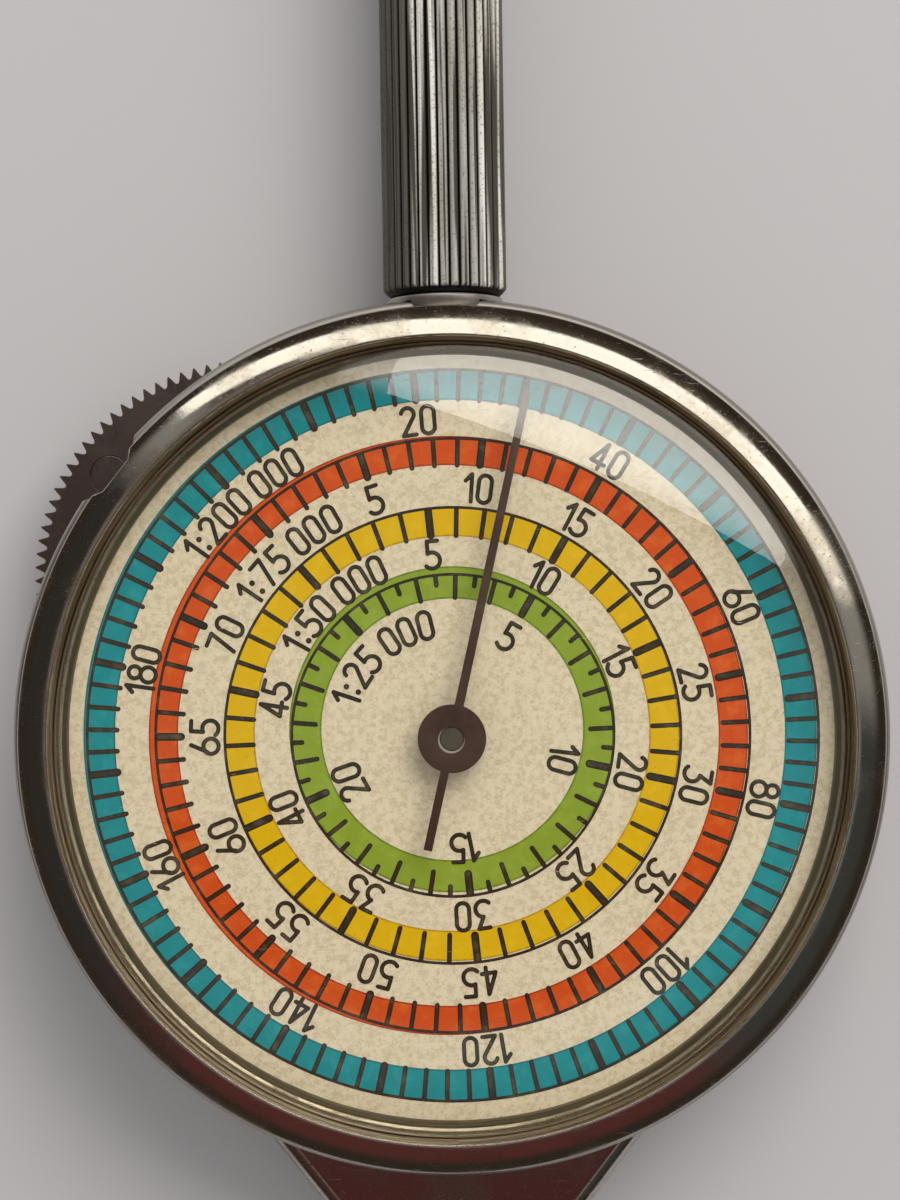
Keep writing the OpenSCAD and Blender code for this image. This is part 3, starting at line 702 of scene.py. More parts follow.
    def turning(self, tree: bpy.types.NodeTree) -> None:
        """Builds streaks that run round the dial's axis, and the distance from that axis."""
        graph, given, out = self.sockets(tree, {"Lines per mm": 16.0}, ["Streaks", "Reach"])
        x, y, _ = graph.add("SeparateXYZ", {0: graph.millimetres()}).outputs
        reach = graph.reach(x, y)
        across = graph.times(reach, given.outputs[0])
        along = graph.times(graph.math("ARCTAN2", x, y), 1.3)
        where = graph.add("CombineXYZ", {0: across, 1: along, 2: 0.0}).outputs[0]
        graph.feed(out.inputs[0], graph.noise(where, 1.0, 3.0, 0.7))
        graph.feed(out.inputs[1], reach)


# ---- Finishes ----


@dataclass(frozen=True)
class Finish:
    """A material with a name, made once and shared by pieces."""

    name: str
    slot: str

    def paint(self, graph: Graph, surface: bpy.types.Node, effects: Effects) -> None:
        """Fills in the Principled shader's inputs."""
        raise NotImplementedError

    def material(self, effects: Effects) -> bpy.types.Material:
        """Returns the finish's material, made at the first call."""
        known = bpy.data.materials.get(self.name)
        if known:
            return known
        made = bpy.data.materials.new(self.name)
        made.use_nodes = True
        graph = Graph(made.node_tree)
        self.paint(graph, made.node_tree.nodes["Principled BSDF"], effects)
        return made

    def coat(self, piece: bpy.types.Object, effects: Effects) -> None:
        """Puts the finish on every slot of a piece."""
        material = self.material(effects)
        if not piece.data.materials:
            piece.data.materials.append(material)
        for k in range(len(piece.data.materials)):
            piece.data.materials[k] = material


@dataclass(frozen=True)
class Plating(Finish):
    """Bright nickel plating, worn and a little stained."""

    base: Colour
    stained: Colour
    roughness: float
    stain: float
    pits: float
    scratched: float
    bump: float

    def paint(self, graph: Graph, surface: bpy.types.Node, effects: Effects) -> None:
        """Fills in base colour, roughness and bump."""
        wear = effects.place(graph, Effect.WEAR, Stain_share=self.stain, Pit_share=self.pits)
        lines = effects.place(graph, Effect.SCRATCHES, Share=self.scratched)
        worn = graph.mix(wear["Stain"], self.base, self.stained)
        dark = tuple(0.5 * c for c in self.stained)
        pitted = graph.mix(graph.times(wear["Pits"], 0.75), worn, dark)
        rough = graph.plus(graph.times(wear["Stain"], 0.12), graph.times(wear["Pits"], 0.25))
        rough = graph.plus(rough, graph.times(lines["Mask"], 0.2))
        height = graph.minus(wear["Height"], graph.times(lines["Mask"], 0.7))
        graph.feed(surface.inputs["Base Color"], pitted)
        graph.feed(surface.inputs["Roughness"], graph.plus(rough, self.roughness))
        graph.feed(surface.inputs["Normal"], graph.bump(height, self.bump))
        surface.inputs["Metallic"].default_value = 1.0


@dataclass(frozen=True)
class RimPlating(Plating):
    """Plating with a ring round the dial in a brown, streaky band colour. The streaks follow
    turning marks; the band's darker tone is painted reflection on the rim's inner slope and
    painted shade on the spacer.
    """

    turned: Colour
    streak: Colour
    turned_roughness: float
    turned_band: tuple[float, float]
    band_edge: float = 0.03

    def paint(self, graph: Graph, surface: bpy.types.Node, effects: Effects) -> None:
        """Adds the band ring to the plating, with turning-mark streaks in a tone that carries
        painted light.
        """
        super().paint(graph, surface, effects)
        marks = effects.place(graph, Effect.TURNING)
        low, high = self.turned_band
        edge = self.band_edge
        inside = graph.times(
            graph.span(marks["Reach"], high + edge, high - edge),
            graph.span(marks["Reach"], low - edge, low + edge),
        )
        plated = surface.inputs["Base Color"].links[0].from_socket
        rough = surface.inputs["Roughness"].links[0].from_socket
        # Painted light: the band tone and streak colours stand in for reflection on the rim's
        # slope and for shade on the spacer; the streaks follow turning marks.
        face = graph.mix(graph.span(marks["Streaks"], 0.36, 0.62), self.turned, self.streak)
        graph.feed(surface.inputs["Base Color"], graph.mix(inside, plated, face))
        dull = graph.times(inside, self.turned_roughness)
        graph.feed(surface.inputs["Roughness"], graph.larger(rough, dull))


@dataclass(frozen=True)
class FlutedPlating(Plating):
    """Plating with painted light on its flutes: a painted highlight on the crests and painted
    shade in the valleys.

    The crests are matt and half metal under a bright base colour, which paints their highlight.
    Noise dims some crests at random, and angle zones add painted shade: dark on the left and
    right sides, partly dark in the middle.
    Angles run round the handle from its top, in radians, positive to the right.
    """

    # grime is painted shade in the valleys; dulled colours crests dimmed at random and by painted
    # shade.
    grime: Colour
    dulled: Colour
    flutes_per_turn: float
    valley_r: float
    crest_r: float
    # Half metal lets the bright base colour show as a painted highlight on the crests.
    metal: float = 0.25
    # Angle spans of the painted shade zones on the left, the right and the middle, and how dark
    # each gets.
    left_fade: tuple[float, float] = (-0.44, -0.56)
    right_fade: tuple[float, float] = (1.2, 1.3)
    middle_rise: tuple[float, float] = (-0.1, 0.0)
    middle_fall: tuple[float, float] = (0.67, 0.57)
    side_dulling: float = 0.94
    middle_dulling: float = 0.47

    def paint(self, graph: Graph, surface: bpy.types.Node, effects: Effects) -> None:
        """Adds painted valley shade, painted side shade and randomly dimmed crests to the
        plating.
        """
        super().paint(graph, surface, effects)
        x, y, z = graph.add("SeparateXYZ", {0: graph.millimetres()}).outputs
        up = graph.minus(z, HANDLE_Z)
        # Painted shade: the valleys take the near-black valley colour and the crests the plating.
        crest_share = graph.span(graph.reach(x, up), self.valley_r, self.crest_r)
        around = graph.math("ARCTAN2", x, up)
        flute = graph.times(around, self.flutes_per_turn / math.tau)
        where = graph.add("CombineXYZ", {0: flute, 1: graph.times(y, 0.04), 2: 0.0}).outputs[0]
        # Noise dims some crests at random; the angle zones below add painted shade.
        dull = graph.span(graph.noise(where, 1.7, 1.0, 0.5), 0.47, 0.6)
        middle = graph.times(
            graph.span(around, *self.middle_rise), graph.span(around, *self.middle_fall)
        )
        for zone, strength in (
            (graph.span(around, *self.left_fade), self.side_dulling),
            (graph.span(around, *self.right_fade), self.side_dulling),
            (middle, self.middle_dulling),
        ):
            dull = graph.larger(dull, graph.times(zone, strength))
        surface.inputs["Metallic"].default_value = self.metal
        plated = surface.inputs["Base Color"].links[0].from_socket
        crest = graph.mix(dull, plated, self.dulled)
        graph.feed(surface.inputs["Base Color"], graph.mix(crest_share, self.grime, crest))


@dataclass(frozen=True)
class TurnedMetal(Finish):
    """Metal with fine tool lines: turned, brushed or satin."""

    base: Colour
    shade: Colour
    roughness: float
    line_scale: tuple[float, float, float]
    line_depth: float

    def paint(self, graph: Graph, surface: bpy.types.Node, effects: Effects) -> None:
        """Fills in base colour, roughness and the tool lines."""
        wear = effects.place(graph, Effect.WEAR, Stain_share=0.5, Pit_share=0.3)
        place = graph.millimetres()
        lines = graph.noise(graph.stretched(place, 0.0, self.line_scale), 1.0, 3.0, 0.6)
        share = graph.plus(graph.times(wear["Stain"], 0.6), graph.times(lines, 0.4))
        rough = graph.plus(graph.times(lines, 0.15), self.roughness)
        graph.feed(surface.inputs["Base Color"], graph.mix(share, self.base, self.shade))
        graph.feed(surface.inputs["Roughness"], rough)
        graph.feed(surface.inputs["Normal"], graph.bump(lines, self.line_depth))
        surface.inputs["Metallic"].default_value = 1.0


@dataclass(frozen=True)
class Paper(Finish):
    """Aged, speckled printing paper."""

    base: Colour
    aged: Colour
    speck: Colour

    def paint(self, graph: Graph, surface: bpy.types.Node, effects: Effects) -> None:
        """Fills in colour, roughness and fibre bump."""
        grain = effects.place(graph, Effect.PAPER_GRAIN, Speck_share=0.5)
        tone = graph.mix(graph.span(grain["Mottle"], 0.4, 0.66), self.base, self.aged)
        tone = graph.mix(graph.times(grain["Specks"], 0.6), tone, self.speck)
        graph.feed(surface.inputs["Base Color"], tone)
        graph.feed(surface.inputs["Roughness"], graph.span(grain["Mottle"], 0.3, 0.7, 0.6, 0.75))
        graph.feed(surface.inputs["Normal"], graph.bump(grain["Height"], 0.004))
        surface.inputs["Specular IOR Level"].default_value = 0.15


@dataclass(frozen=True)
class Ink(Finish):
    """Printing ink that is darker where the type's edge pressed it."""

    base: Colour
    edge: Colour
    thin: Colour
    edge_start: float

    def paint(self, graph: Graph, surface: bpy.types.Node, effects: Effects) -> None:
        """Fills in colour and roughness."""
        ink = effects.place(graph, Effect.INK_PRESS, Edge_start=self.edge_start)
        grain = effects.place(graph, Effect.PAPER_GRAIN, Speck_share=0.4)
        cover = graph.span(ink["Cover"], 0.45, 0.75)
        tone = graph.mix(graph.times(cover, 0.6), self.base, self.thin)
        tone = graph.mix(graph.times(grain["Specks"], 0.6), tone, self.edge)
        tone = graph.mix(ink["Edge"], tone, self.edge)
        graph.feed(surface.inputs["Base Color"], tone)
        graph.feed(surface.inputs["Roughness"], graph.span(grain["Mottle"], 0.3, 0.7, 0.45, 0.6))
        surface.inputs["Specular IOR Level"].default_value = 0.12


@dataclass(frozen=True)
class Enamel(Finish):
    """Thin enamel or a matt skin of age on metal; also the pale painted highlight in the hand's
    hole.
    """

    base: Colour
    worn: Colour

    def paint(self, graph: Graph, surface: bpy.types.Node, effects: Effects) -> None:
        """Fills in colour, roughness and bump."""
        wear = effects.place(graph, Effect.WEAR, Stain_share=0.6, Pit_share=0.5)
        graph.feed(surface.inputs["Base Color"], graph.mix(wear["Stain"], self.base, self.worn))
        graph.feed(surface.inputs["Roughness"], graph.span(wear["Stain"], 0.0, 1.0, 0.35, 0.5))
        graph.feed(surface.inputs["Normal"], graph.bump(wear["Height"], 0.002))
        surface.inputs["Specular IOR Level"].default_value = 0.2


@dataclass(frozen=True)
class ClearCrystal(Finish):
    """Clear acrylic with fine scratches, which lets the lamp's light through."""

    scratched: float

    def paint(self, graph: Graph, surface: bpy.types.Node, effects: Effects) -> None:
        """Fills in the glass and lets shadow and diffuse rays pass."""
        lines = effects.place(graph, Effect.SCRATCHES, Share=self.scratched)
        surface.inputs["Base Color"].default_value = (1.0, 1.0, 1.0, 1.0)
        surface.inputs["Transmission Weight"].default_value = 1.0
        surface.inputs["IOR"].default_value = 1.54
        surface.inputs["Roughness"].default_value = 0.0
        graph.feed(surface.inputs["Normal"], graph.bump(lines["Mask"], 0.002))
        rays = graph.add("LightPath").outputs
        share = graph.larger(rays["Is Shadow Ray"], rays["Is Diffuse Ray"])
        clear = graph.add("BsdfTransparent")
        both = graph.add("MixShader", {0: share, 1: surface.outputs[0], 2: clear.outputs[0]})
        out = graph.tree.nodes["Material Output"]
        graph.feed(out.inputs["Surface"], both.outputs[0])


@dataclass(frozen=True)
class Floor(Finish):
    """Plain pale table."""

    base: Colour

    def paint(self, graph: Graph, surface: bpy.types.Node, effects: Effects) -> None:
        """Fills in colour and roughness."""
        place = graph.millimetres()
        cloud = graph.noise(place, 0.02, 2.0)
        darker = tuple(0.97 * c for c in self.base)
        graph.feed(surface.inputs["Base Color"], graph.mix(cloud, self.base, darker))
        surface.inputs["Roughness"].default_value = 0.7
        surface.inputs["Specular IOR Level"].default_value = 0.2


SHELL = RimPlating(
    name="plated_shell_worn",
    slot="plated_shell",
    base=(0.5, 0.465, 0.425),
    stained=(0.42, 0.37, 0.32),
    roughness=0.13,
    stain=0.4,
    pits=0.45,
    scratched=0.5,
    bump=0.001,
    turned=(0.56, 0.53, 0.5),
    streak=(0.46, 0.43, 0.4),
    turned_roughness=0.45,
    turned_band=(17.0, 17.7),
)
# Painted reflection: the brown band tone and dark streak over the inner slope paint the dark
# room's reflection, streaked like turning marks.
RIM = RimPlating(
    name="plated_rim_worn_reflection_painted",
    slot="plated_rim",
    base=(0.52, 0.485, 0.44),
    stained=(0.47, 0.42, 0.36),
    roughness=0.09,
    stain=0.35,
    pits=0.22,
    scratched=0.5,
    bump=0.001,
    turned=(0.5, 0.42, 0.3),
    streak=(0.2, 0.145, 0.09),
    turned_roughness=0.4,
    turned_band=(10.0, 15.82),
)
# Painted shade: the dark band tone and streak darken the spacer's visible inner edge, as if
# shaded in its deep gap.
SPACER = RimPlating(
    name="spacer_painted_shade",
    slot="spacer_metal",
    base=(0.42, 0.35, 0.23),
    stained=(0.3, 0.25, 0.16),
    roughness=0.4,
    stain=0.5,
    pits=0.4,
    scratched=0.2,
    bump=0.001,
    turned=(0.2, 0.165, 0.1),
    streak=(0.11, 0.09, 0.055),
    turned_roughness=0.5,
    turned_band=(10.0, 15.36),
)
# Painted light: the bright base at low metal paints the crests' highlight; grime and the angle
# zones paint shade.
GRIP = FlutedPlating(
    name="plated_handle_worn_painted_light",
    slot="plated_handle",
    base=(1.0, 0.96, 0.87),
    stained=(0.86, 0.81, 0.71),
    roughness=0.42,
    stain=0.45,
    pits=0.6,
    scratched=0.3,
    bump=0.004,
    grime=(0.008, 0.006, 0.004),
    dulled=(0.085, 0.074, 0.056),
    flutes_per_turn=36.0,
    valley_r=2.36,
    crest_r=2.44,
)
CRYSTAL = ClearCrystal("clear_crystal_scratched", "clear_crystal", scratched=0.1)
BRASS = TurnedMetal(
    name="brass_brushed",
    slot="brass",
    base=(0.72, 0.55, 0.27),
    shade=(0.55, 0.4, 0.18),
    roughness=0.25,
    line_scale=(1.0, 14.0, 1.0),
    line_depth=0.001,
)
TURNED_STEEL = TurnedMetal(
    name="turned_steel",
    slot="arbor_steel",
    base=(0.5, 0.47, 0.42),
    shade=(0.36, 0.33, 0.29),
    roughness=0.2,
    line_scale=(2.0, 2.0, 16.0),
    line_depth=0.001,
)
BROWNED_STEEL = TurnedMetal(
    name="browned_steel",
    slot="setting_steel",
    base=(0.3, 0.25, 0.23),
    shade=(0.2, 0.14, 0.13),
    roughness=0.28,
    line_scale=(0.8, 12.0, 1.0),
    line_depth=0.0015,
)
PAPER = Paper(
    "dial_paper_aged", "dial_paper",
    base=(0.84, 0.72, 0.49), aged=(0.68, 0.56, 0.34), speck=(0.36, 0.26, 0.14),
)
BLUE = Ink(
    "ink_blue", "dial_paper",
    base=(0.0, 0.27, 0.28), edge=(0.0, 0.12, 0.13), thin=(0.02, 0.36, 0.36), edge_start=0.72,
)
RED = Ink(
    "ink_red", "dial_paper",
    base=(0.68, 0.085, 0.008), edge=(0.3, 0.02, 0.004), thin=(0.8, 0.17, 0.03),
    edge_start=0.72,
)
YELLOW = Ink(
    "ink_yellow", "dial_paper",
    base=(0.78, 0.47, 0.003), edge=(0.42, 0.22, 0.0), thin=(0.86, 0.56, 0.02),
    edge_start=0.72,
)
GREEN = Ink(
    "ink_green", "dial_paper",
    base=(0.27, 0.37, 0.03), edge=(0.1, 0.18, 0.01), thin=(0.36, 0.45, 0.06), edge_start=0.72,
)
BLACK = Ink(
    "ink_black", "dial_paper",
    base=(0.035, 0.026, 0.013), edge=(0.004, 0.003, 0.002), thin=(0.16, 0.125, 0.07),
    edge_start=0.42,
)
HAND_ENAMEL = Enamel(
    "hand_enamel_brown", "hand_enamel", base=(0.042, 0.018, 0.01), worn=(0.06, 0.03, 0.018)
)
# Painted highlight: the pale ring in the hand's hole stands in for light on the hole's lit wall.
HOLE_HIGHLIGHT = Enamel(
    "hand_hole_highlight", "hand_enamel", base=(0.42, 0.37, 0.3), worn=(0.36, 0.31, 0.24)
)
PIN = Enamel("pin_aged", "arbor_steel", base=(0.06, 0.05, 0.032), worn=(0.075, 0.062, 0.04))
TABLE = Floor("pale_table", "", base=(0.6, 0.575, 0.57))


@dataclass
class Workshop:
    """What every sub-assembly needs: the frame's nodes and the shared effects."""

    nodes: dict[str, bpy.types.Object]
    effects: Effects = field(default_factory=Effects)

    def dress(self, finish: Finish, *names: str) -> None:
        """Puts a finish on CAD nodes."""
        for name in names:
            finish.coat(self.nodes[name], self.effects)
            log.info("dressed %s in %s", name, finish.name)

    def fit(
        self, piece: bpy.types.Object, finish: Finish, body: str, *replaced: str
    ) -> None:
        """Finishes a new piece and puts it on its body.

        Args:
            piece: the new piece, in place.
            finish: its finish.
            body: the CAD body that it rides on.
            replaced: the CAD nodes that it stands for.
        """
        finish.coat(piece, self.effects)
        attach(piece, body)
        if replaced:
            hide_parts(*replaced)
        log.info("made %s: %d faces", piece.name, len(piece.data.polygons))


# ---- Sub-assemblies ----


@dataclass
class CaseRim:
    """The bezel with its thumb notch, the crystal under it and the spacer ring."""

    bezel_r: float = 17.1
    ridge_r: float = 15.85
    ridge_z: float = 7.6
    ridge_tilt: float = 13.0
    crown_r: float = 3.1
    lip_r: float = 15.56
    lip_z: float = 7.1
    bead_r: float = 0.05
    groove_d: float = 0.012
    groove_at: float = 0.56
    groove_w: float = 0.07
    ripple: float = 0.2
    ripple_turns: float = 26.0
    crystal_r: float = 15.7
    crystal_z: float = 6.25
    crystal_t: float = 0.65
    dome_z: float = 9.15
    seat_z: float = 7.0
    seat_gap: float = 0.03
    skirt_r: float = 16.4
    skirt_in_r: float = 15.95
    skirt_z: float = 5.15
    notch_round: float = 0.05
    spacer_r: float = 15.85
    spacer_in_r: float = 15.2

    def notch_limit(self, angles: np.ndarray) -> np.ndarray:
        """Returns how far out metal reaches at each angle from +X."""
        widest, nowhere = 1.2, 99.0
        off = np.abs((angles - math.radians(NOTCH_AT) + math.pi) % math.tau - math.pi)
        off = np.minimum(off, widest)
        flat = NOTCH_R / np.cos(off)
        half = NOTCH_W / 2
        slope = math.tan(math.radians(NOTCH_FLARE))
        flared = (NOTCH_R * slope - half) / (np.cos(off) * slope - np.sin(off))
        limit = np.where(flat * np.sin(off) < half, flat, flared)
        return np.where(limit < 0, nowhere, limit)

    def angles(self) -> np.ndarray:
        """Returns the angles of the rim's sections, close together at the notch."""
        notch = math.radians(NOTCH_AT)
        near = notch + np.radians(np.arange(-8.0, 8.0, 0.1))
        rest = notch + np.radians(np.arange(8.0, 352.0, 1.0))
        return np.concatenate([near, rest])

    def slope(self, top: Point, foot: Point) -> list[tuple[float, float, float]]:
        """Returns the bezel's inner slope with its groove and turning ripples.

        Args:
            top: radius and height of the slope's top.
            foot: radius and height of its foot.

        Returns:
            Corners of the slope, with no fillets.
        """
        lean = 0.7
        corners = []
        for share in np.linspace(0.06, 0.97, 30):
            dip = self.groove_d * math.exp(-(((share - self.groove_at) / self.groove_w) ** 2))
            dip += self.ripple * self.groove_d * math.sin(share * self.ripple_turns)
            corners.append((
                top[0] - (top[0] - foot[0]) * share + lean * dip,
                top[1] - (top[1] - foot[1]) * share - lean * dip,
                0.0,
            ))
        return corners

    def bezel(self) -> bpy.types.Object:
        """Returns the bezel's mesh."""
        tilt = math.radians(self.ridge_tilt)
        centre = (
            self.ridge_r - self.crown_r * math.sin(tilt),
            self.ridge_z - self.crown_r * math.cos(tilt),
        )
        outer = math.degrees(math.acos((self.bezel_r - centre[0]) / self.crown_r))
        short_of_ridge = 1.5
        crown = arc(centre, self.crown_r, outer, 90 - self.ridge_tilt - short_of_ridge, 22)
        bead = arc((self.lip_r + self.bead_r, self.lip_z + 0.01), self.bead_r, 20, 180, 10)
        foot_round, shoulder_round, ridge_round = 0.08, 0.12, 0.03
        corners = [
            (self.skirt_in_r, self.skirt_z, 0.0),
            (self.skirt_r, self.skirt_z, 0.0),
            (self.skirt_r, CASE_TOP_Z, 0.0),
            (self.bezel_r, CASE_TOP_Z, foot_round),
            (self.bezel_r, crown[0][1] - 0.3, 0.0),
            (*crown[0], shoulder_round),
            *((x, y, 0.0) for x, y in crown[3:]),
            (self.ridge_r, self.ridge_z, ridge_round),
            *self.slope((self.ridge_r, self.ridge_z), bead[0]),
            *((x, y, 0.0) for x, y in bead),
            (self.lip_r, self.seat_z, 0.0),
            (self.crystal_r, self.seat_z, 0.0),
            (self.crystal_r, self.crystal_z, 0.0),
            (self.skirt_in_r, self.crystal_z, 0.0),
        ]
        profile = np.array(rounded(corners))
        angles = self.angles()
        limit = self.notch_limit(angles)[None, :]
        r = profile[:, :1] + np.zeros((1, len(angles)))
        soft = self.notch_round
        past = r - limit
        eased = r - (past + soft) ** 2 / (4 * soft)
        cut = np.where(past > soft, limit, np.where(past > -soft, eased, r))
        mould = Mould("bezel_rim")
        mould.spin(cut, profile[:, 1:], angles)
        return mould.cast(crease=50.0)

    def crystal(self) -> bpy.types.Object:
        """Returns the domed crystal's mesh."""
        rise = self.dome_z - self.seat_z
        dome = (self.lip_r**2 + rise**2) / (2 * rise)
        centre = self.dome_z - dome
        under = dome - self.crystal_t
        inner = [
            (r, centre + math.sqrt(under**2 - r**2))
            for r in np.linspace(0, self.crystal_r, 48)
        ]
        outer = [
            (r, centre + math.sqrt(dome**2 - r**2))
            for r in np.linspace(self.lip_r - self.seat_gap - 0.01, 0, 48)
        ]
        profile = [
            *inner,
            (self.crystal_r, self.seat_z),
            (self.lip_r + self.seat_gap, self.seat_z),
            *outer,
        ]
        mould = Mould("crystal_dome")
        mould.turn(profile, 360, closed=False)
        return mould.cast(crease=25.0)

    def spacer(self) -> bpy.types.Object:
        """Returns the spacer ring's mesh."""
        top = self.crystal_z
        mould = Mould("spacer_band")
        mould.turn(rounded([
            (self.spacer_in_r, DIAL_Z, 0.0),
            (self.spacer_r, DIAL_Z, 0.0),
            (self.spacer_r, top, 0.02),
            (self.spacer_in_r + 0.28, top, 0.03),
            (self.spacer_in_r + 0.16, top - 0.05, 0.02),
            (self.spacer_in_r, top - 0.4, 0.05),
        ]))
        return mould.cast()

    def build(self, shop: Workshop) -> None:
        """Makes and fits the three pieces."""
        shop.fit(self.bezel(), RIM, "case", "bezel")
        shop.fit(self.crystal(), CRYSTAL, "case", "crystal")
        shop.fit(self.spacer(), SPACER, "case", "spacer_ring")


@dataclass
class Handle:
    """The fluted grip and the rounded boss that carries it."""

    radius: float = 2.5
    flute_d: float = 0.2
    flutes: int = 36
    flute_steps: int = 12
    crest_power: float = 0.8
    start_y: float = 17.75
    length: float = 36.4
    bevel: float = 0.3
    bore_r: float = 1.25
    bore_l: float = 5.0
    collar_r: float = 2.35
    collar_y: float = 17.7
    collar_in: float = 0.25
    collar_flare: float = 0.5
    collar_round: float = 0.15
    root_y: float = 17.0
    tail_y: float = 16.6
    bezel_room_r: float = 17.15
    wall_in_r: float = 16.0

    def collar(self) -> bpy.types.Object:
        """Returns the rounded boss, cut to lie over the case's shoulder."""
        mould = Mould("handle_collar")
        waist = self.collar_r - self.collar_in
        top, edge = self.collar_y, self.collar_round
        mould.turn([
            (0.0, self.tail_y), (TAIL_R, self.tail_y), (TAIL_R, self.root_y),
            (waist, self.root_y),
            *((waist + self.collar_in * math.sin(t), top - edge - self.collar_flare * math.cos(t))
              for t in np.linspace(0.0, math.pi / 2, 10)),
            *arc((self.collar_r - edge, top - edge), edge, 5, 90, 8),
            (self.bore_r, top), (self.bore_r, top + self.bore_l), (0.0, top + self.bore_l),
        ], 180, closed=False)
        piece = mould.cast(crease=40.0)
        lay_along_y(piece)
        carve(piece, cylinder("cutter", self.bezel_room_r, CASE_TOP_Z - 0.5, CLEAR_Z, 720))
        trim = Mould("trim")
        trim.turn([
            (self.wall_in_r, -2.0), (CASE_R, -2.0), (CASE_R, CASE_TOP_Z),
            (self.wall_in_r, CASE_TOP_Z),
        ], 720)
        band = trim.cast()
        tail_room = cylinder("spare", TAIL_R, 14.0, 20.0)
        lay_along_y(tail_room)
        carve(band, tail_room)
        carve(piece, band)
        soften(piece, 40.0)
        return piece

    def grip(self) -> bpy.types.Object:
        """Returns the grip's mesh, with rounded crests between sharp valleys."""
        steps = self.flutes * self.flute_steps
        angles = circle(steps)
        crest = np.abs(np.cos(angles * self.flutes / 2)) ** self.crest_power
        fluted = self.radius - self.flute_d * (1 - crest)
        inner = self.radius - self.bevel
        ends = np.linspace(0, self.bevel, 8)
        levels = [*ends, *(self.length - ends[::-1])][::-1]
        rings = [np.minimum(fluted, inner + min(z, self.length - z)) for z in levels]
        around = np.ones(steps)
        bore = [(self.bore_r, 0.0), (self.bore_r, self.bore_l), (0.0, self.bore_l)]
        rings = [around * 0.0, *rings, *(around * r for r, _ in bore)]
        levels = [self.length, *levels, *(z for _, z in bore)]
        mould = Mould("handle_fluted")
        mould.spin(np.array(rings), np.array(levels), angles, closed=False)
        piece = mould.cast(crease=28.0)
        lay_along_y(piece, self.start_y)
        return piece

    def build(self, shop: Workshop) -> None:
        """Makes the grip and its boss."""
        shop.fit(self.grip(), GRIP, "case", "handle_grip")
        shop.fit(self.collar(), SHELL, "case", "handle_boss")


@dataclass
class Hand:
    """The hand with its hub, pointer and tail."""

    low_z: float = 6.25
    thick: float = 0.2
    hub_r: float = 1.35
    pointer_l: float = 14.0
    pointer_root: float = 0.37
    pointer_tip: float = 0.3
    tail_l: float = 4.5
    tail_w: float = 0.34
    bore_r: float = 0.44
    hole_r: float = 0.53
    hole_at: Point = (-0.012, -0.05)
    edge_r: float = 0.485
    edge_h: float = 0.06
    edge_gap: float = 0.004
    ledge_t: float = 0.01
    bush_r: float = 0.8
    rest: float = 13.1

    def outline(self) -> list[Point]:
        """Returns the hand's outline with the pointer up."""
        root, tip, tail = self.pointer_root / 2, self.pointer_tip / 2, self.tail_w / 2
        waist = 0.985
        right = math.degrees(math.acos(root * waist / self.hub_r))
        low = math.degrees(math.acos(tail / self.hub_r))
        return [
            (tip, self.pointer_l),
            (-tip, self.pointer_l),
            *arc((0, 0), self.hub_r, 180 - right, 180 + low, 40),
            (-tail, -self.tail_l),
            (tail, -self.tail_l),
            *arc((0, 0), self.hub_r, -low, right, 40),
        ]

    def build(self, shop: Workshop) -> None:
        """Makes and fits the hand."""
        mould = Mould("hand_blade")
        mould.prism(self.outline(), self.low_z, self.low_z + self.thick)
        blade = mould.cast()
        mid = self.low_z + self.thick / 2
        hole = cylinder("hole", self.hole_r, mid, mid + 1)
        slide(hole, self.hole_at)
        carve(blade, hole)
        carve(blade, cylinder("bore", self.bore_r, mid - 1, mid + self.ledge_t))
        # A pale ring offset in the hole shows as a crescent of painted highlight.
        edge = cylinder("hand_edge", self.hole_r - self.edge_gap, mid, mid + self.edge_h)
        slide(edge, self.hole_at)
        carve(edge, cylinder("core", self.edge_r, mid - 1, mid + 1))
        ease_edges(blade, 0.03, 40.0, 2)
        bush = Mould("hand_bush")
        bush.turn([
            (self.bore_r, self.low_z - self.thick), (self.bush_r, self.low_z - self.thick),
            (self.bush_r, self.low_z), (self.bore_r, self.low_z),
        ], 96)
        collar = bush.cast()
        turn = -math.radians(self.rest)
        for piece in (blade, collar, edge):
            for vertex in piece.data.vertices:
                x, y, z = vertex.co
                vertex.co = (
                    x * math.cos(turn) - y * math.sin(turn),
                    x * math.sin(turn) + y * math.cos(turn),
                    z,
                )
        shop.fit(blade, HAND_ENAMEL, "hand_train", "hand")
        shop.fit(collar, HAND_ENAMEL, "hand_train", "hand")
        shop.fit(edge, HOLE_HIGHLIGHT, "hand_train", "hand")
        shop.dress(PIN, "hand_arbor")
        shop.dress(TURNED_STEEL, "centre_pinion", "friction_spring")
        shop.dress(BRASS, "centre_wheel", "clutch_collet")


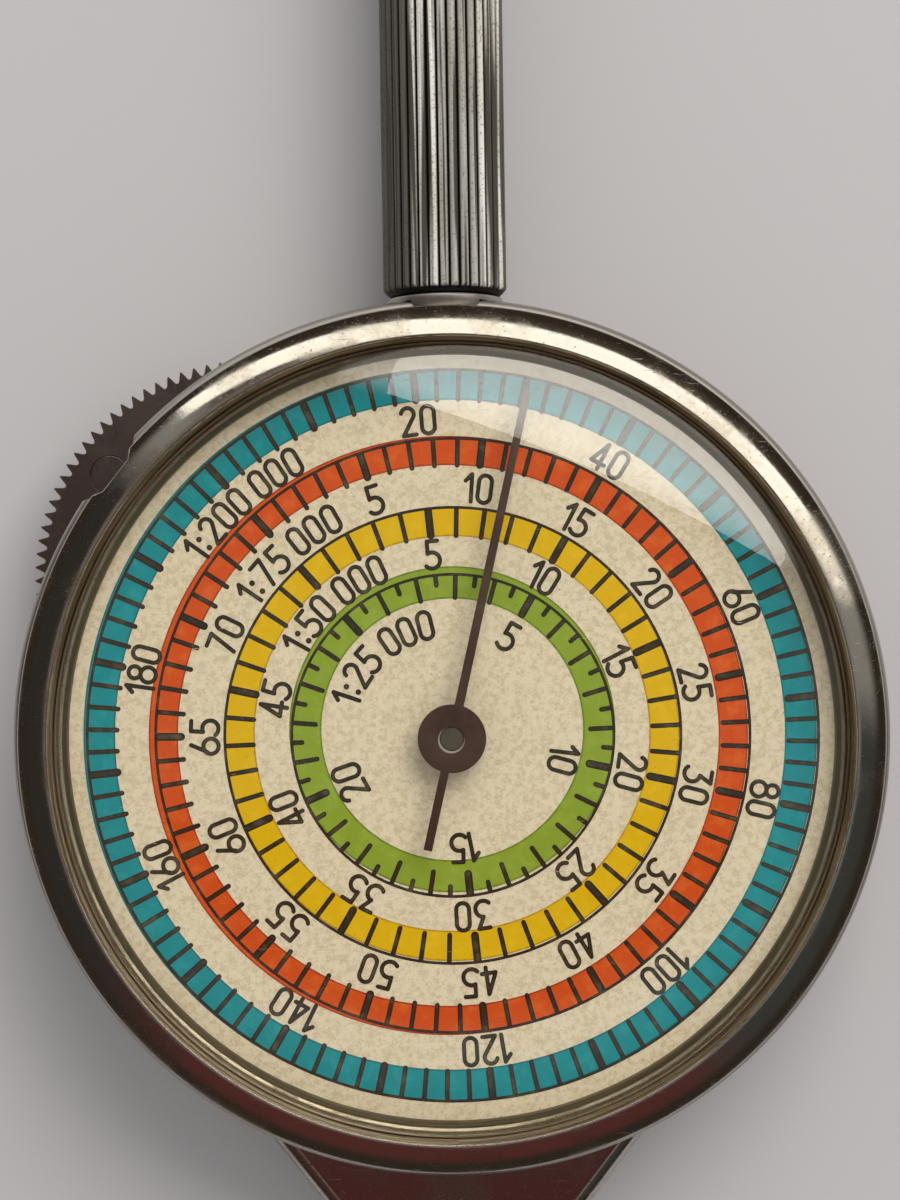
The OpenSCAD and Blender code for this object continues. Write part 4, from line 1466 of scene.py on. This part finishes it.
@dataclass
class SettingWheel:
    """The thin toothed wheel that stands out of the case for a thumb."""

    teeth: int = 100
    tip_r: float = 8.874
    root_r: float = 8.4825
    low_z: float = 2.55
    thick: float = 0.5
    bore_r: float = 1.04
    bevel: float = 0.04
    toothed_w: float = 0.5
    first_tooth: float = 133.5
    scribe_r: float = 0.79
    scribe_at: float = 7.15
    scribe_dir: float = 143.6
    scribe_w: float = 0.035

    def wheel(self) -> bpy.types.Object:
        """Returns the wheel's mesh, with pointed teeth and round gullets."""
        flank = [(0.05, 1.0), (0.12, 0.8), (0.2, 0.56), (0.28, 0.3), (0.34, 0.14),
                 (0.4, 0.05), (0.45, 0.012)]
        tooth = [(-u, h) for u, h in reversed(flank)] + flank + [(0.5, 0.0)]
        pitch = math.tau / self.teeth
        start = math.radians(self.first_tooth)
        angles = np.array([start + (i + u) * pitch for i in range(self.teeth) for u, _ in tooth])
        outer = np.array([
            self.root_r + (self.tip_r - self.root_r) * h for _ in range(self.teeth)
            for _, h in tooth
        ])
        around = np.ones(len(angles))
        top = self.low_z + self.thick
        face = self.root_r - self.toothed_w
        rings = [
            (around * self.bore_r, self.low_z),
            (around * face, self.low_z),
            (outer - self.bevel, self.low_z),
            (outer, self.low_z + self.bevel),
            (outer, top - self.bevel),
            (outer - self.bevel, top),
            (around * face, top),
            (around * self.bore_r, top),
        ]
        mould = Mould("setting_thumbwheel")
        mould.spin(np.array([r for r, _ in rings]), np.array([z for _, z in rings]), angles)
        piece = mould.cast(crease=30.0)
        slide(piece, SETTING_AT)
        return piece

    def scribe(self) -> bpy.types.Object:
        """Returns a thin ring to carve the scribed circle with."""
        mould = Mould("scribe")
        top = self.low_z + self.thick
        mould.turn(arc((self.scribe_r, top), self.scribe_w, 0, 330, 11), 72)
        ring = mould.cast()
        x, y = arc((0.0, 0.0), self.scribe_at, self.scribe_dir, self.scribe_dir, 1)[0]
        slide(ring, (SETTING_AT[0] + x, SETTING_AT[1] + y))
        return ring

    def build(self, shop: Workshop) -> None:
        """Makes and fits the wheel."""
        piece = self.wheel()
        carve(piece, self.scribe())
        soften(piece, 30.0)
        shop.fit(piece, BROWNED_STEEL, "setting", "setting_wheel")
        shop.dress(TURNED_STEEL, "setting_stud", "setting_screw")


@dataclass(frozen=True)
class Scale:
    """One printed scale: a coloured ring with divisions and numbers."""

    name: str
    ink: Ink
    line_r: float
    tick_r: float
    short: float
    band: tuple[float, float]
    shift: Point
    divisions: int
    bold_every: int
    labels: tuple[tuple[str, float], ...]
    caption: str
    digit_r: float
    alternating: bool = False


class Type:
    """Strokes of the dial's numerals, in heights of a numeral."""

    width = 0.53
    narrow = {"1": 0.36, ":": 0.24, " ": 0.14}
    half = 0.066
    dot = 1.35
    height = 1.24
    gap = 0.1
    grid = 0.024

    def __init__(self) -> None:
        """Starts with no cut glyphs."""
        self.cut: dict[str, Patch] = {}

    def strokes(self, glyph: str) -> list[list[Point]]:
        """Returns the centre lines of a glyph."""
        left, right, low, high = 0.06, 0.47, 0.06, 0.94
        mid = (left + right) / 2
        bow = (right - left) / 2
        loop = 0.245
        six = [
            (0.33, high), (0.085, 0.43),
            *arc((mid, low + loop), loop, 155, 515, 28),
        ]
        shapes = {
            "0": [[
                *arc((mid, high - bow), bow, 0, 180, 16),
                *arc((mid, low + bow), bow, 180, 360, 16),
                (right, high - bow),
            ]],
            "1": [[(0.1, 0.72), (0.3, high), (0.3, low)]],
            "2": [[*arc((mid, high - bow), bow, 165, -28, 16), (left, low), (right, low)]],
            "3": [[
                (left + 0.02, high), (right - 0.03, high), (0.24, 0.57),
                *arc((0.205, low + 0.26), 0.26, 75, -140, 16),
            ]],
            "4": [[(0.34, low), (0.34, high - 0.02), (left - 0.02, 0.25), (right + 0.02, 0.25)]],
            "5": [[
                (right - 0.03, high), (0.11, high), (0.1, 0.55),
                *arc((0.215, low + 0.26), 0.26, 100, -140, 16),
            ]],
            "6": [six],
            "7": [[(left, high), (right, high), (0.2, low)]],
            "8": [
                arc((mid, high - 0.195), 0.195, 0, 360, 24),
                arc((mid, low + loop), loop, 0, 360, 28),
            ],
            "9": [[(2 * mid - x, low + high - y) for x, y in six]],
            ":": [[(0.12, 0.2), (0.12, 0.205)], [(0.12, 0.62), (0.12, 0.625)]],
        }
        return shapes[glyph]

    def advance(self, glyph: str) -> float:
        """Returns the width that a glyph takes in a line."""
        return self.narrow.get(glyph, self.width) + self.gap

    def patch(self, glyph: str) -> Patch:
        """Returns a glyph's filled shape in millimetres, its foot at the origin's height."""
        if glyph not in self.cut:
            segments = [
                (np.array(line[i]), np.array(line[i + 1]))
                for line in self.strokes(glyph)
                for i in range(len(line) - 1)
            ]
            half = self.half * (self.dot if glyph == ":" else 1.0)

            def distance(points: np.ndarray) -> np.ndarray:
                """Returns each point's distance to the glyph's edge."""
                best = np.full(len(points), 9.0)
                for a, b in segments:
                    way = b - a
                    long = max(float(way @ way), 1e-9)
                    share = np.clip((points - a) @ way / long, 0, 1)
                    off = points - a - share[:, None] * way
                    best = np.minimum(best, np.hypot(off[:, 0], off[:, 1]))
                return best - half

            made = contour(distance, (-0.05, -0.05), (0.62, 1.05), self.grid, half)
            self.cut[glyph] = made.moved(lambda points: points * self.height)
        return self.cut[glyph]


@dataclass
class Dial:
    """The printed dial face: paper, four coloured rings, divisions and numbers."""

    centre: Point = (0.04, 0.08)
    zero: float = 318.6
    line_w: float = 0.11
    thin_w: float = 0.19
    bold_w: float = 0.31
    sunk: float = 0.01
    colour_t: float = 0.005
    tick_t: float = 0.01
    line_t: float = 0.0105
    digit_t: float = 0.012
    type: Type = field(default_factory=Type)

    def scales(self) -> list[Scale]:
        """Returns the four scales, outermost first."""
        def every(step: int, last: int, turn: float) -> tuple[tuple[str, float], ...]:
            """Returns labels and their angles past zero."""
            return tuple((str(n), 360 * n / turn) for n in range(step, last + 1, step))

        return [
            Scale("blue", BLUE, 14.52, 13.24, 13.24, (13.3, 14.56), (-0.11, 0.03),
                  100, 5, every(20, 180, 200), "1:200 000", 11.96),
            Scale("red", RED, 11.8, 10.64, 10.64, (10.74, 11.9), (-0.18, 0.0),
                  75, 5, every(5, 70, 75), "1:75 000", 9.24),
            Scale("yellow", YELLOW, 9.06, 7.84, 7.84, (7.84, 9.04), (-0.03, 0.075),
                  50, 5, every(5, 45, 50), "1:50 000", 6.6),
            Scale("green", GREEN, 6.4, 5.38, 5.9, (5.2, 6.48), (-0.02, 0.24),
                  50, 10, every(5, 20, 25), "1:25 000", 3.88, alternating=True),
        ]

    def ring(
        self, low: float, high: float, shift: Point, rails: Sequence[tuple[float, float]]
    ) -> Patch:
        """Returns a flat ring.

        Args:
            low: inner radius.
            high: outer radius.
            shift: how far its centre is from the dial's.
            rails: share of the way across and press value of each rail.
        """
        steps = 360
        angles = circle(steps)
        points, press, faces = [], [], []
        for share, value in rails:
            r = low + (high - low) * share
            points.append(np.stack([r * np.cos(angles), r * np.sin(angles)], -1) + shift)
            press.append(np.full(steps, value))
        for k in range(len(rails) - 1):
            for i in range(steps):
                j = (i + 1) % steps
                faces.append((
                    k * steps + i, (k + 1) * steps + i, (k + 1) * steps + j, k * steps + j,
                ))
        return Patch(np.vstack(points) + self.centre, faces, np.concatenate(press))

    def tick(self, outer: float, inner: float, width: float, degrees: float) -> Patch:
        """Returns one division line with a round inner end."""
        half = width / 2
        end = inner + half
        across = (-1.0, -0.5, 0.0, 0.5, 1.0)
        points = [(x * half, outer) for x in across] + [(x * half, end) for x in across]
        press = [abs(x) for x in across] * 2
        faces: list[tuple[int, ...]] = [(5 + k, 6 + k, 1 + k, k) for k in range(4)]
        cap = arc((0.0, end), half, 180, 360, 8)[1:-1]
        points += cap
        press += [1.0] * len(cap)
        first, last, middle = 10, 9 + len(cap), 7
        faces.append((middle, 6, 5, first))
        faces += [(middle, k, k + 1) for k in range(first, last)]
        faces.append((middle, last, 9, 8))
        turn = math.radians(degrees)
        local = np.array(points)
        x = local[:, 0] * math.cos(turn) + local[:, 1] * math.sin(turn)
        y = -local[:, 0] * math.sin(turn) + local[:, 1] * math.cos(turn)
        return Patch(np.stack([x, y], -1) + self.centre, faces, np.array(press))

    def write(self, mould: Mould, text: str, degrees: float, foot_r: float) -> None:
        """Stamps a line of numerals along an arc, tops outwards.

        Args:
            mould: what takes the numerals.
            text: the numerals.
            degrees: clock angle of the line's middle.
            foot_r: radius on which they stand.
        """
        size = self.type.height
        widths = [self.type.advance(glyph) * size for glyph in text]
        read_r = foot_r + size / 2
        at = -sum(widths) / 2
        for glyph, width in zip(text, widths):
            middle = at + width / 2
            at += width
            if glyph == " ":
                continue
            turn = math.radians(degrees) + middle / read_r
            c, s = math.cos(turn), math.sin(turn)
            half = (width - self.type.gap * size) / 2

            def place(points: np.ndarray) -> np.ndarray:
                """Puts the glyph's points on the dial."""
                x, y = points[:, 0] - half, points[:, 1] + foot_r
                return np.stack([x * c + y * s, -x * s + y * c], -1) + self.centre

            mould.stamp(
                self.type.patch(glyph).moved(place), DIAL_Z - self.sunk, DIAL_Z + self.digit_t
            )

    def build(self, shop: Workshop) -> None:
        """Makes and fits all that is printed, and dresses the paper and its plate."""
        shop.dress(PAPER, "dial_print")
        shop.dress(BRASS, "dial_plate")
        rails = [(0.0, 1.0), (0.05, 0.85), (0.12, 0.2), (0.5, 0.0), (0.88, 0.2),
                 (0.95, 0.85), (1.0, 1.0)]
        lines = Mould("ink_divisions")
        numbers = Mould("ink_numbers")
        low = DIAL_Z - self.sunk
        fine_rails = [(0.0, 1.0), (0.5, 0.3), (1.0, 1.0)]
        for scale in self.scales():
            colour = Mould("ink_ring_" + scale.name)
            colour.stamp(self.ring(*scale.band, scale.shift, rails), low, DIAL_Z + self.colour_t)
            shop.fit(colour.cast(with_press=True), scale.ink, "case")
            half = self.line_w / 2
            line = self.ring(scale.line_r - half, scale.line_r + half, (0.0, 0.0), fine_rails)
            lines.stamp(line, low, DIAL_Z + self.line_t)
            for i in range(scale.divisions):
                width = self.thin_w if i % scale.bold_every else self.bold_w
                inner = scale.short if scale.alternating and i % 2 else scale.tick_r
                turn = self.zero + 360 * i / scale.divisions
                lines.stamp(
                    self.tick(scale.line_r, inner, width, turn), low, DIAL_Z + self.tick_t
                )
            for text, past in scale.labels:
                self.write(numbers, text, self.zero + past, scale.digit_r)
            self.write(numbers, scale.caption, self.zero, scale.digit_r)
        shop.fit(lines.cast(with_press=True), BLACK, "case")
        shop.fit(numbers.cast(with_press=True), BLACK, "case")


@dataclass
class Shells:
    """The two stamped halves of the case with the nose."""

    band_in_r: float = 16.45
    ledge_in_r: float = 15.7
    ledge_z: float = 4.1
    ledge_top: float = 4.5
    spigot_r: float = 16.85
    spigot_z: float = 2.1
    split_z: float = 2.8
    shoulder: float = 0.35
    nose_z: float = 4.4
    nose_edge: float = 0.8
    shell_t: float = 0.6
    ceiling_z: float = 3.8
    cheek_r: float = 2.35
    root_w: float = 13.2
    side_angle: float = 38.0
    track_y: float = -25.15
    idler_y: float = -21.4
    root_y: float = -13.65
    slot_h: float = 2.85
    axle_r: float = 0.45
    idler_space_r: float = 2.9
    wheel_space_r: float = 9.124
    wheel_gap: float = 1.0

    def nose_outline(self, inset: float) -> list[Point]:
        """Returns the nose's outline, drawn in by `inset`, from its tip anticlockwise."""
        lean = math.radians(self.side_angle)
        flank_y = -CASE_R - (self.root_w / 2 - self.cheek_r) / math.tan(lean)
        flank_r = (flank_y - self.track_y) / math.tan(lean / 2)
        tip = arc((0.0, self.track_y), self.cheek_r - inset, 270, 357, 29)
        flank = arc(
            (self.cheek_r + flank_r, self.track_y), flank_r + inset, 180,
            180 - self.side_angle, 28,
        )
        across, up = flank[-1]
        right = [*tip, *flank, (across + (self.root_y - up) * math.tan(lean), self.root_y)]
        return right + [(-x, y) for x, y in right[:0:-1]]

    def nose(self) -> bpy.types.Object:
        """Returns the nose's front half as a solid with a rounded upper edge."""
        rings = [(0.0, self.split_z)]
        for turn in np.linspace(0.0, math.pi / 2, 15):
            rings.append((
                self.nose_edge * (1 - math.cos(turn)),
                self.nose_z - self.nose_edge * (1 - math.sin(turn)),
            ))
        outlines = [np.array(self.nose_outline(inset)) for inset, _ in rings]
        n = len(outlines[0])
        points = np.vstack([
            np.column_stack([outline, np.full(n, level)])
            for outline, (_, level) in zip(outlines, rings)
        ])
        faces = [
            (k * n + i, k * n + (i + 1) % n, (k + 1) * n + (i + 1) % n, (k + 1) * n + i)
            for k in range(len(rings) - 1) for i in range(n)
        ]
        faces.append(tuple(reversed(range(n))))
        faces.append(tuple(range((len(rings) - 1) * n, len(rings) * n)))
        mould = Mould("nose")
        mould.add(points, faces)
        return mould.cast()

    def cutters(self) -> Iterable[bpy.types.Object]:
        """Makes what is cut out of the front case, one cutter after another."""
        ceiling = self.ceiling_z
        yield slab("cavity", self.nose_outline(self.shell_t), 0.0, ceiling)
        wide = 9.0
        low, high = self.track_y - 2 * self.cheek_r, self.track_y + self.slot_h
        yield slab("slot", [(-wide, low), (wide, low), (wide, high), (-wide, high)], 0.0, ceiling)
        yield post(
            "idler_room", self.idler_space_r, self.split_z - 0.1, ceiling, (0.0, self.idler_y)
        )
        half = self.wheel_gap / 2
        yield post(
            "wheel_room", self.wheel_space_r, self.split_z - half, self.split_z + half,
            SETTING_AT, 240,
        )
        outer, narrow = CASE_R + 0.2, NOTCH_W / 2
        spread = narrow + (outer - NOTCH_R) * math.tan(math.radians(NOTCH_FLARE))
        turn = math.radians(NOTCH_AT)
        yield slab("notch", [
            (x * math.cos(turn) - y * math.sin(turn), x * math.sin(turn) + y * math.cos(turn))
            for x, y in (
                (NOTCH_R, -narrow), (outer, -spread), (outer, spread), (NOTCH_R, narrow)
            )
        ], self.split_z, CLEAR_Z)
        for y in (self.track_y, self.idler_y):
            yield post("hole", self.axle_r, 2.0, CLEAR_Z, (0.0, y), 64)
        bore = post("bore", TAIL_R, 0.0, CASE_R + 1)
        lay_along_y(bore)
        yield bore

    def front(self) -> bpy.types.Object:
        """Returns the front case: ring wall, ledge, spigot and the nose's front half."""
        mould = Mould("case_front")
        inner, top = self.band_in_r, CASE_TOP_Z
        mould.turn([
            (inner, self.spigot_z), (self.spigot_r, self.spigot_z),
            (self.spigot_r, self.split_z), (CASE_R, self.split_z),
            *arc((CASE_R - self.shoulder, top - self.shoulder), self.shoulder, 0, 90, 12),
            (inner, top), (inner, self.ledge_top), (self.ledge_in_r, self.ledge_top),
            (self.ledge_in_r, self.ledge_z), (inner, self.ledge_z),
        ], 720)
        piece = mould.cast()
        nose = self.nose()
        carve(nose, post("core", inner + 0.2, 0.0, CLEAR_Z, steps=720))
        join(piece, nose, "UNION")
        for cutter in self.cutters():
            carve(piece, cutter)
        even_out(piece, 40.0)
        return piece

    def build(self, shop: Workshop) -> None:
        """Makes the front case and dresses the rear one and the screws."""
        shop.fit(self.front(), SHELL, "case", "front_case")
        shop.dress(SHELL, "rear_case")
        shop.dress(TURNED_STEEL, "case_screws")


class Movement:
    """Plates, pillars and wheels inside the case, and the tracking wheel."""

    def build(self, shop: Workshop) -> None:
        """Dresses the movement's nodes."""
        shop.dress(
            BRASS, "rear_plate", "front_plate", "rear_bush", "front_bush", "pillars",
            "intermediate_collet", "intermediate_wheel", "idler_wheel", "tracking_spacer",
        )
        shop.dress(
            TURNED_STEEL, "plate_screws", "intermediate_arbor", "intermediate_pinion",
            "idler_stud", "tracking_pinion", "tracking_axle",
        )
        shop.dress(BROWNED_STEEL, "tracking_wheel")


@dataclass
class Studio:
    """Camera, table, window light and what the metal reflects."""

    camera_at: tuple[float, float, float] = (0.01, 5.48, 97.4)
    camera_turn: float = -0.0157
    lens: float = 69.0
    sensor: float = 36.0
    lamp_reach: float = 500.0
    lamp_size: tuple[float, float] = (425.0, 300.0)
    lamp_aside: float = 37.5
    lamp_power: float = 1.8
    lamp_zenith: float = 46.0
    lamp_clock: float = 23.6
    floor_r: float = 600.0
    floor_t: float = 5.0
    window_clock: float = 22.6
    window: tuple[float, float, float, float] = (-2.01, 1.25, 0.66, 1.733)
    first_wall: Colour = (0.13, 0.042, 0.039)
    walls: tuple[tuple[float, float, Colour], ...] = (
        (-150.0, -120.0, (0.045, 0.042, 0.038)),
        (-56.0, -46.0, (0.34, 0.33, 0.31)),
        (-42.0, -34.0, (0.09, 0.07, 0.05)),
        (66.0, 72.0, (0.36, 0.35, 0.32)),
        (86.0, 96.0, (0.065, 0.068, 0.062)),
        (136.0, 152.0, (0.13, 0.042, 0.039)),
    )
    first_upper: Colour = (0.3, 0.28, 0.27)
    uppers: tuple[tuple[float, float, Colour], ...] = (
        (-150.0, -120.0, (0.26, 0.22, 0.19)),
        (66.0, 90.0, (0.3, 0.33, 0.33)),
    )
    dark_foot: Colour = (0.045, 0.036, 0.027)
    ceiling: tuple[Colour, Colour] = ((0.13, 0.125, 0.12), (0.1, 0.03, 0.028))
    glow: tuple[Colour, Colour] = ((2.0, 1.95, 1.75), (2.15, 2.12, 1.95))

    def camera(self) -> None:
        """Sets up the camera, straight above the dial."""
        data = bpy.data.cameras.new("camera")
        data.sensor_fit = "VERTICAL"
        data.sensor_height = self.sensor
        data.lens = self.lens
        data.clip_start = 0.001
        data.clip_end = 10.0
        camera = bpy.data.objects.new("camera", data)
        camera.location = [c * MM for c in self.camera_at]
        camera.rotation_euler = (0.0, 0.0, self.camera_turn)
        bpy.context.scene.collection.objects.link(camera)
        bpy.context.scene.camera = camera

    def table(self, shop: Workshop) -> None:
        """Lays the pale floor."""
        mould = Mould("floor")
        r, low = self.floor_r, -self.floor_t
        mould.turn(
            [(0.0, low), (r, low), (r, 0.0), (r / 10, 0.0), (0.0, 0.0)], 96, closed=False
        )
        floor = mould.cast()
        TABLE.coat(floor, shop.effects)

    def lamp(self) -> None:
        """Hangs the key lamp in the window's direction."""
        data = bpy.data.lights.new("window_lamp", "AREA")
        data.shape = "RECTANGLE"
        data.size, data.size_y = (side * MM for side in self.lamp_size)
        data.energy = self.lamp_power
        data.color = (1.0, 0.98, 0.95)
        lamp = bpy.data.objects.new("window_lamp", data)
        zenith, clock = math.radians(self.lamp_zenith), math.radians(self.lamp_clock)
        reach, aside = self.lamp_reach * MM, self.lamp_aside * MM
        lamp.location = (
            reach * math.sin(zenith) * math.sin(clock) + aside * math.cos(clock),
            reach * math.sin(zenith) * math.cos(clock) - aside * math.sin(clock),
            reach * math.cos(zenith),
        )
        lamp.rotation_euler = (-zenith, 0.0, -clock)
        lamp.visible_glossy = False
        bpy.context.scene.collection.objects.link(lamp)

    def room(self, graph: Graph, way: Sequence[object]) -> object:
        """Returns what the metal sees of the room, without the window.

        Args:
            graph: the world's nodes.
            way: the three parts of the direction that is looked in.

        Returns:
            The colour: walls by clock angle, a paler band above them, the ceiling.
        """
        x, y, z = way
        clock = graph.times(graph.math("ARCTAN2", x, y), 180 / math.pi)
        zenith = graph.times(graph.math("ARCCOSINE", z), 180 / math.pi)
        wall: object = self.first_wall
        for start, end, colour in self.walls:
            wall = graph.mix(graph.span(clock, start, end), wall, colour)
        upper: object = self.first_upper
        for start, end, colour in self.uppers:
            upper = graph.mix(graph.span(clock, start, end), upper, colour)
        room = graph.mix(graph.span(zenith, 43.0, 38.0), wall, upper)
        room = graph.mix(graph.span(zenith, 60.0, 76.0), room, self.dark_foot)
        ceiling = graph.mix(graph.span(y, -0.12, -0.22), *self.ceiling)
        return graph.mix(graph.span(zenith, 36.0, 31.0), room, ceiling)

    def pane(self, graph: Graph, way: Sequence[object]) -> tuple[object, object]:
        """Returns where the window is and how it glows.

        Args:
            graph: the world's nodes.
            way: the three parts of the direction that is looked in.

        Returns:
            The window's mask and its colour.
        """
        x, y, z = way
        turn = math.radians(self.window_clock)
        c, s = math.cos(turn), math.sin(turn)
        ahead = graph.plus(graph.times(x, s), graph.times(y, c))
        aside = graph.minus(graph.times(x, c), graph.times(y, s))
        front = graph.larger(ahead, 0.01)
        u, v = graph.math("DIVIDE", aside, front), graph.math("DIVIDE", z, front)
        left, right, sill, head = self.window
        soft = 0.03
        stepped = graph.larger(graph.span(v, 1.6, 1.54), graph.span(u, -0.9, -0.82))
        pane = graph.times(graph.span(ahead, 0.02, 0.06), stepped)
        for value, low, high in (
            (u, left - soft, left + soft),
            (u, right + soft, right - soft),
            (v, sill - soft, sill + soft),
            (v, head + 0.14, head - 0.06),
        ):
            pane = graph.times(pane, graph.span(value, low, high))
        return pane, graph.mix(graph.span(v, 0.95, 0.7), *self.glow)

    def world(self) -> None:
        """Builds the room: pale to the camera, even to diffuse rays, a window to gloss."""
        world = bpy.data.worlds.new("room")
        bpy.context.scene.world = world
        world.use_nodes = True
        world.cycles.sampling_method = "NONE"
        graph = Graph(world.node_tree)
        place = graph.add("TexCoord").outputs["Generated"]
        way = graph.add("SeparateXYZ", {0: place}).outputs
        pane, glow = self.pane(graph, way)
        room = graph.mix(pane, self.room(graph, way), glow)
        room = graph.mix(graph.span(way[2], 0.02, -0.02), room, (0.3, 0.29, 0.28))
        rays = graph.add("LightPath").outputs
        seen = graph.mix(rays["Is Diffuse Ray"], room, (0.47, 0.47, 0.48))
        seen = graph.mix(rays["Is Camera Ray"], seen, (0.8, 0.79, 0.79))
        back = world.node_tree.nodes["Background"]
        graph.feed(back.inputs["Color"], seen)

    def build(self, shop: Workshop) -> None:
        """Sets the whole stage."""
        self.camera()
        self.table(shop)
        self.lamp()
        self.world()
        bpy.context.scene.view_settings.view_transform = "Standard"


def main() -> None:
    """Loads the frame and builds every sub-assembly."""
    logging.basicConfig(level=logging.INFO, format="%(message)s")
    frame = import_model()
    shop = Workshop(frame["nodes"])
    Studio().build(shop)
    for assembly in (
        Shells(), CaseRim(), Handle(), Dial(), Hand(), SettingWheel(), Movement()
    ):
        assembly.build(shop)


if __name__ == "__main__":
    main()
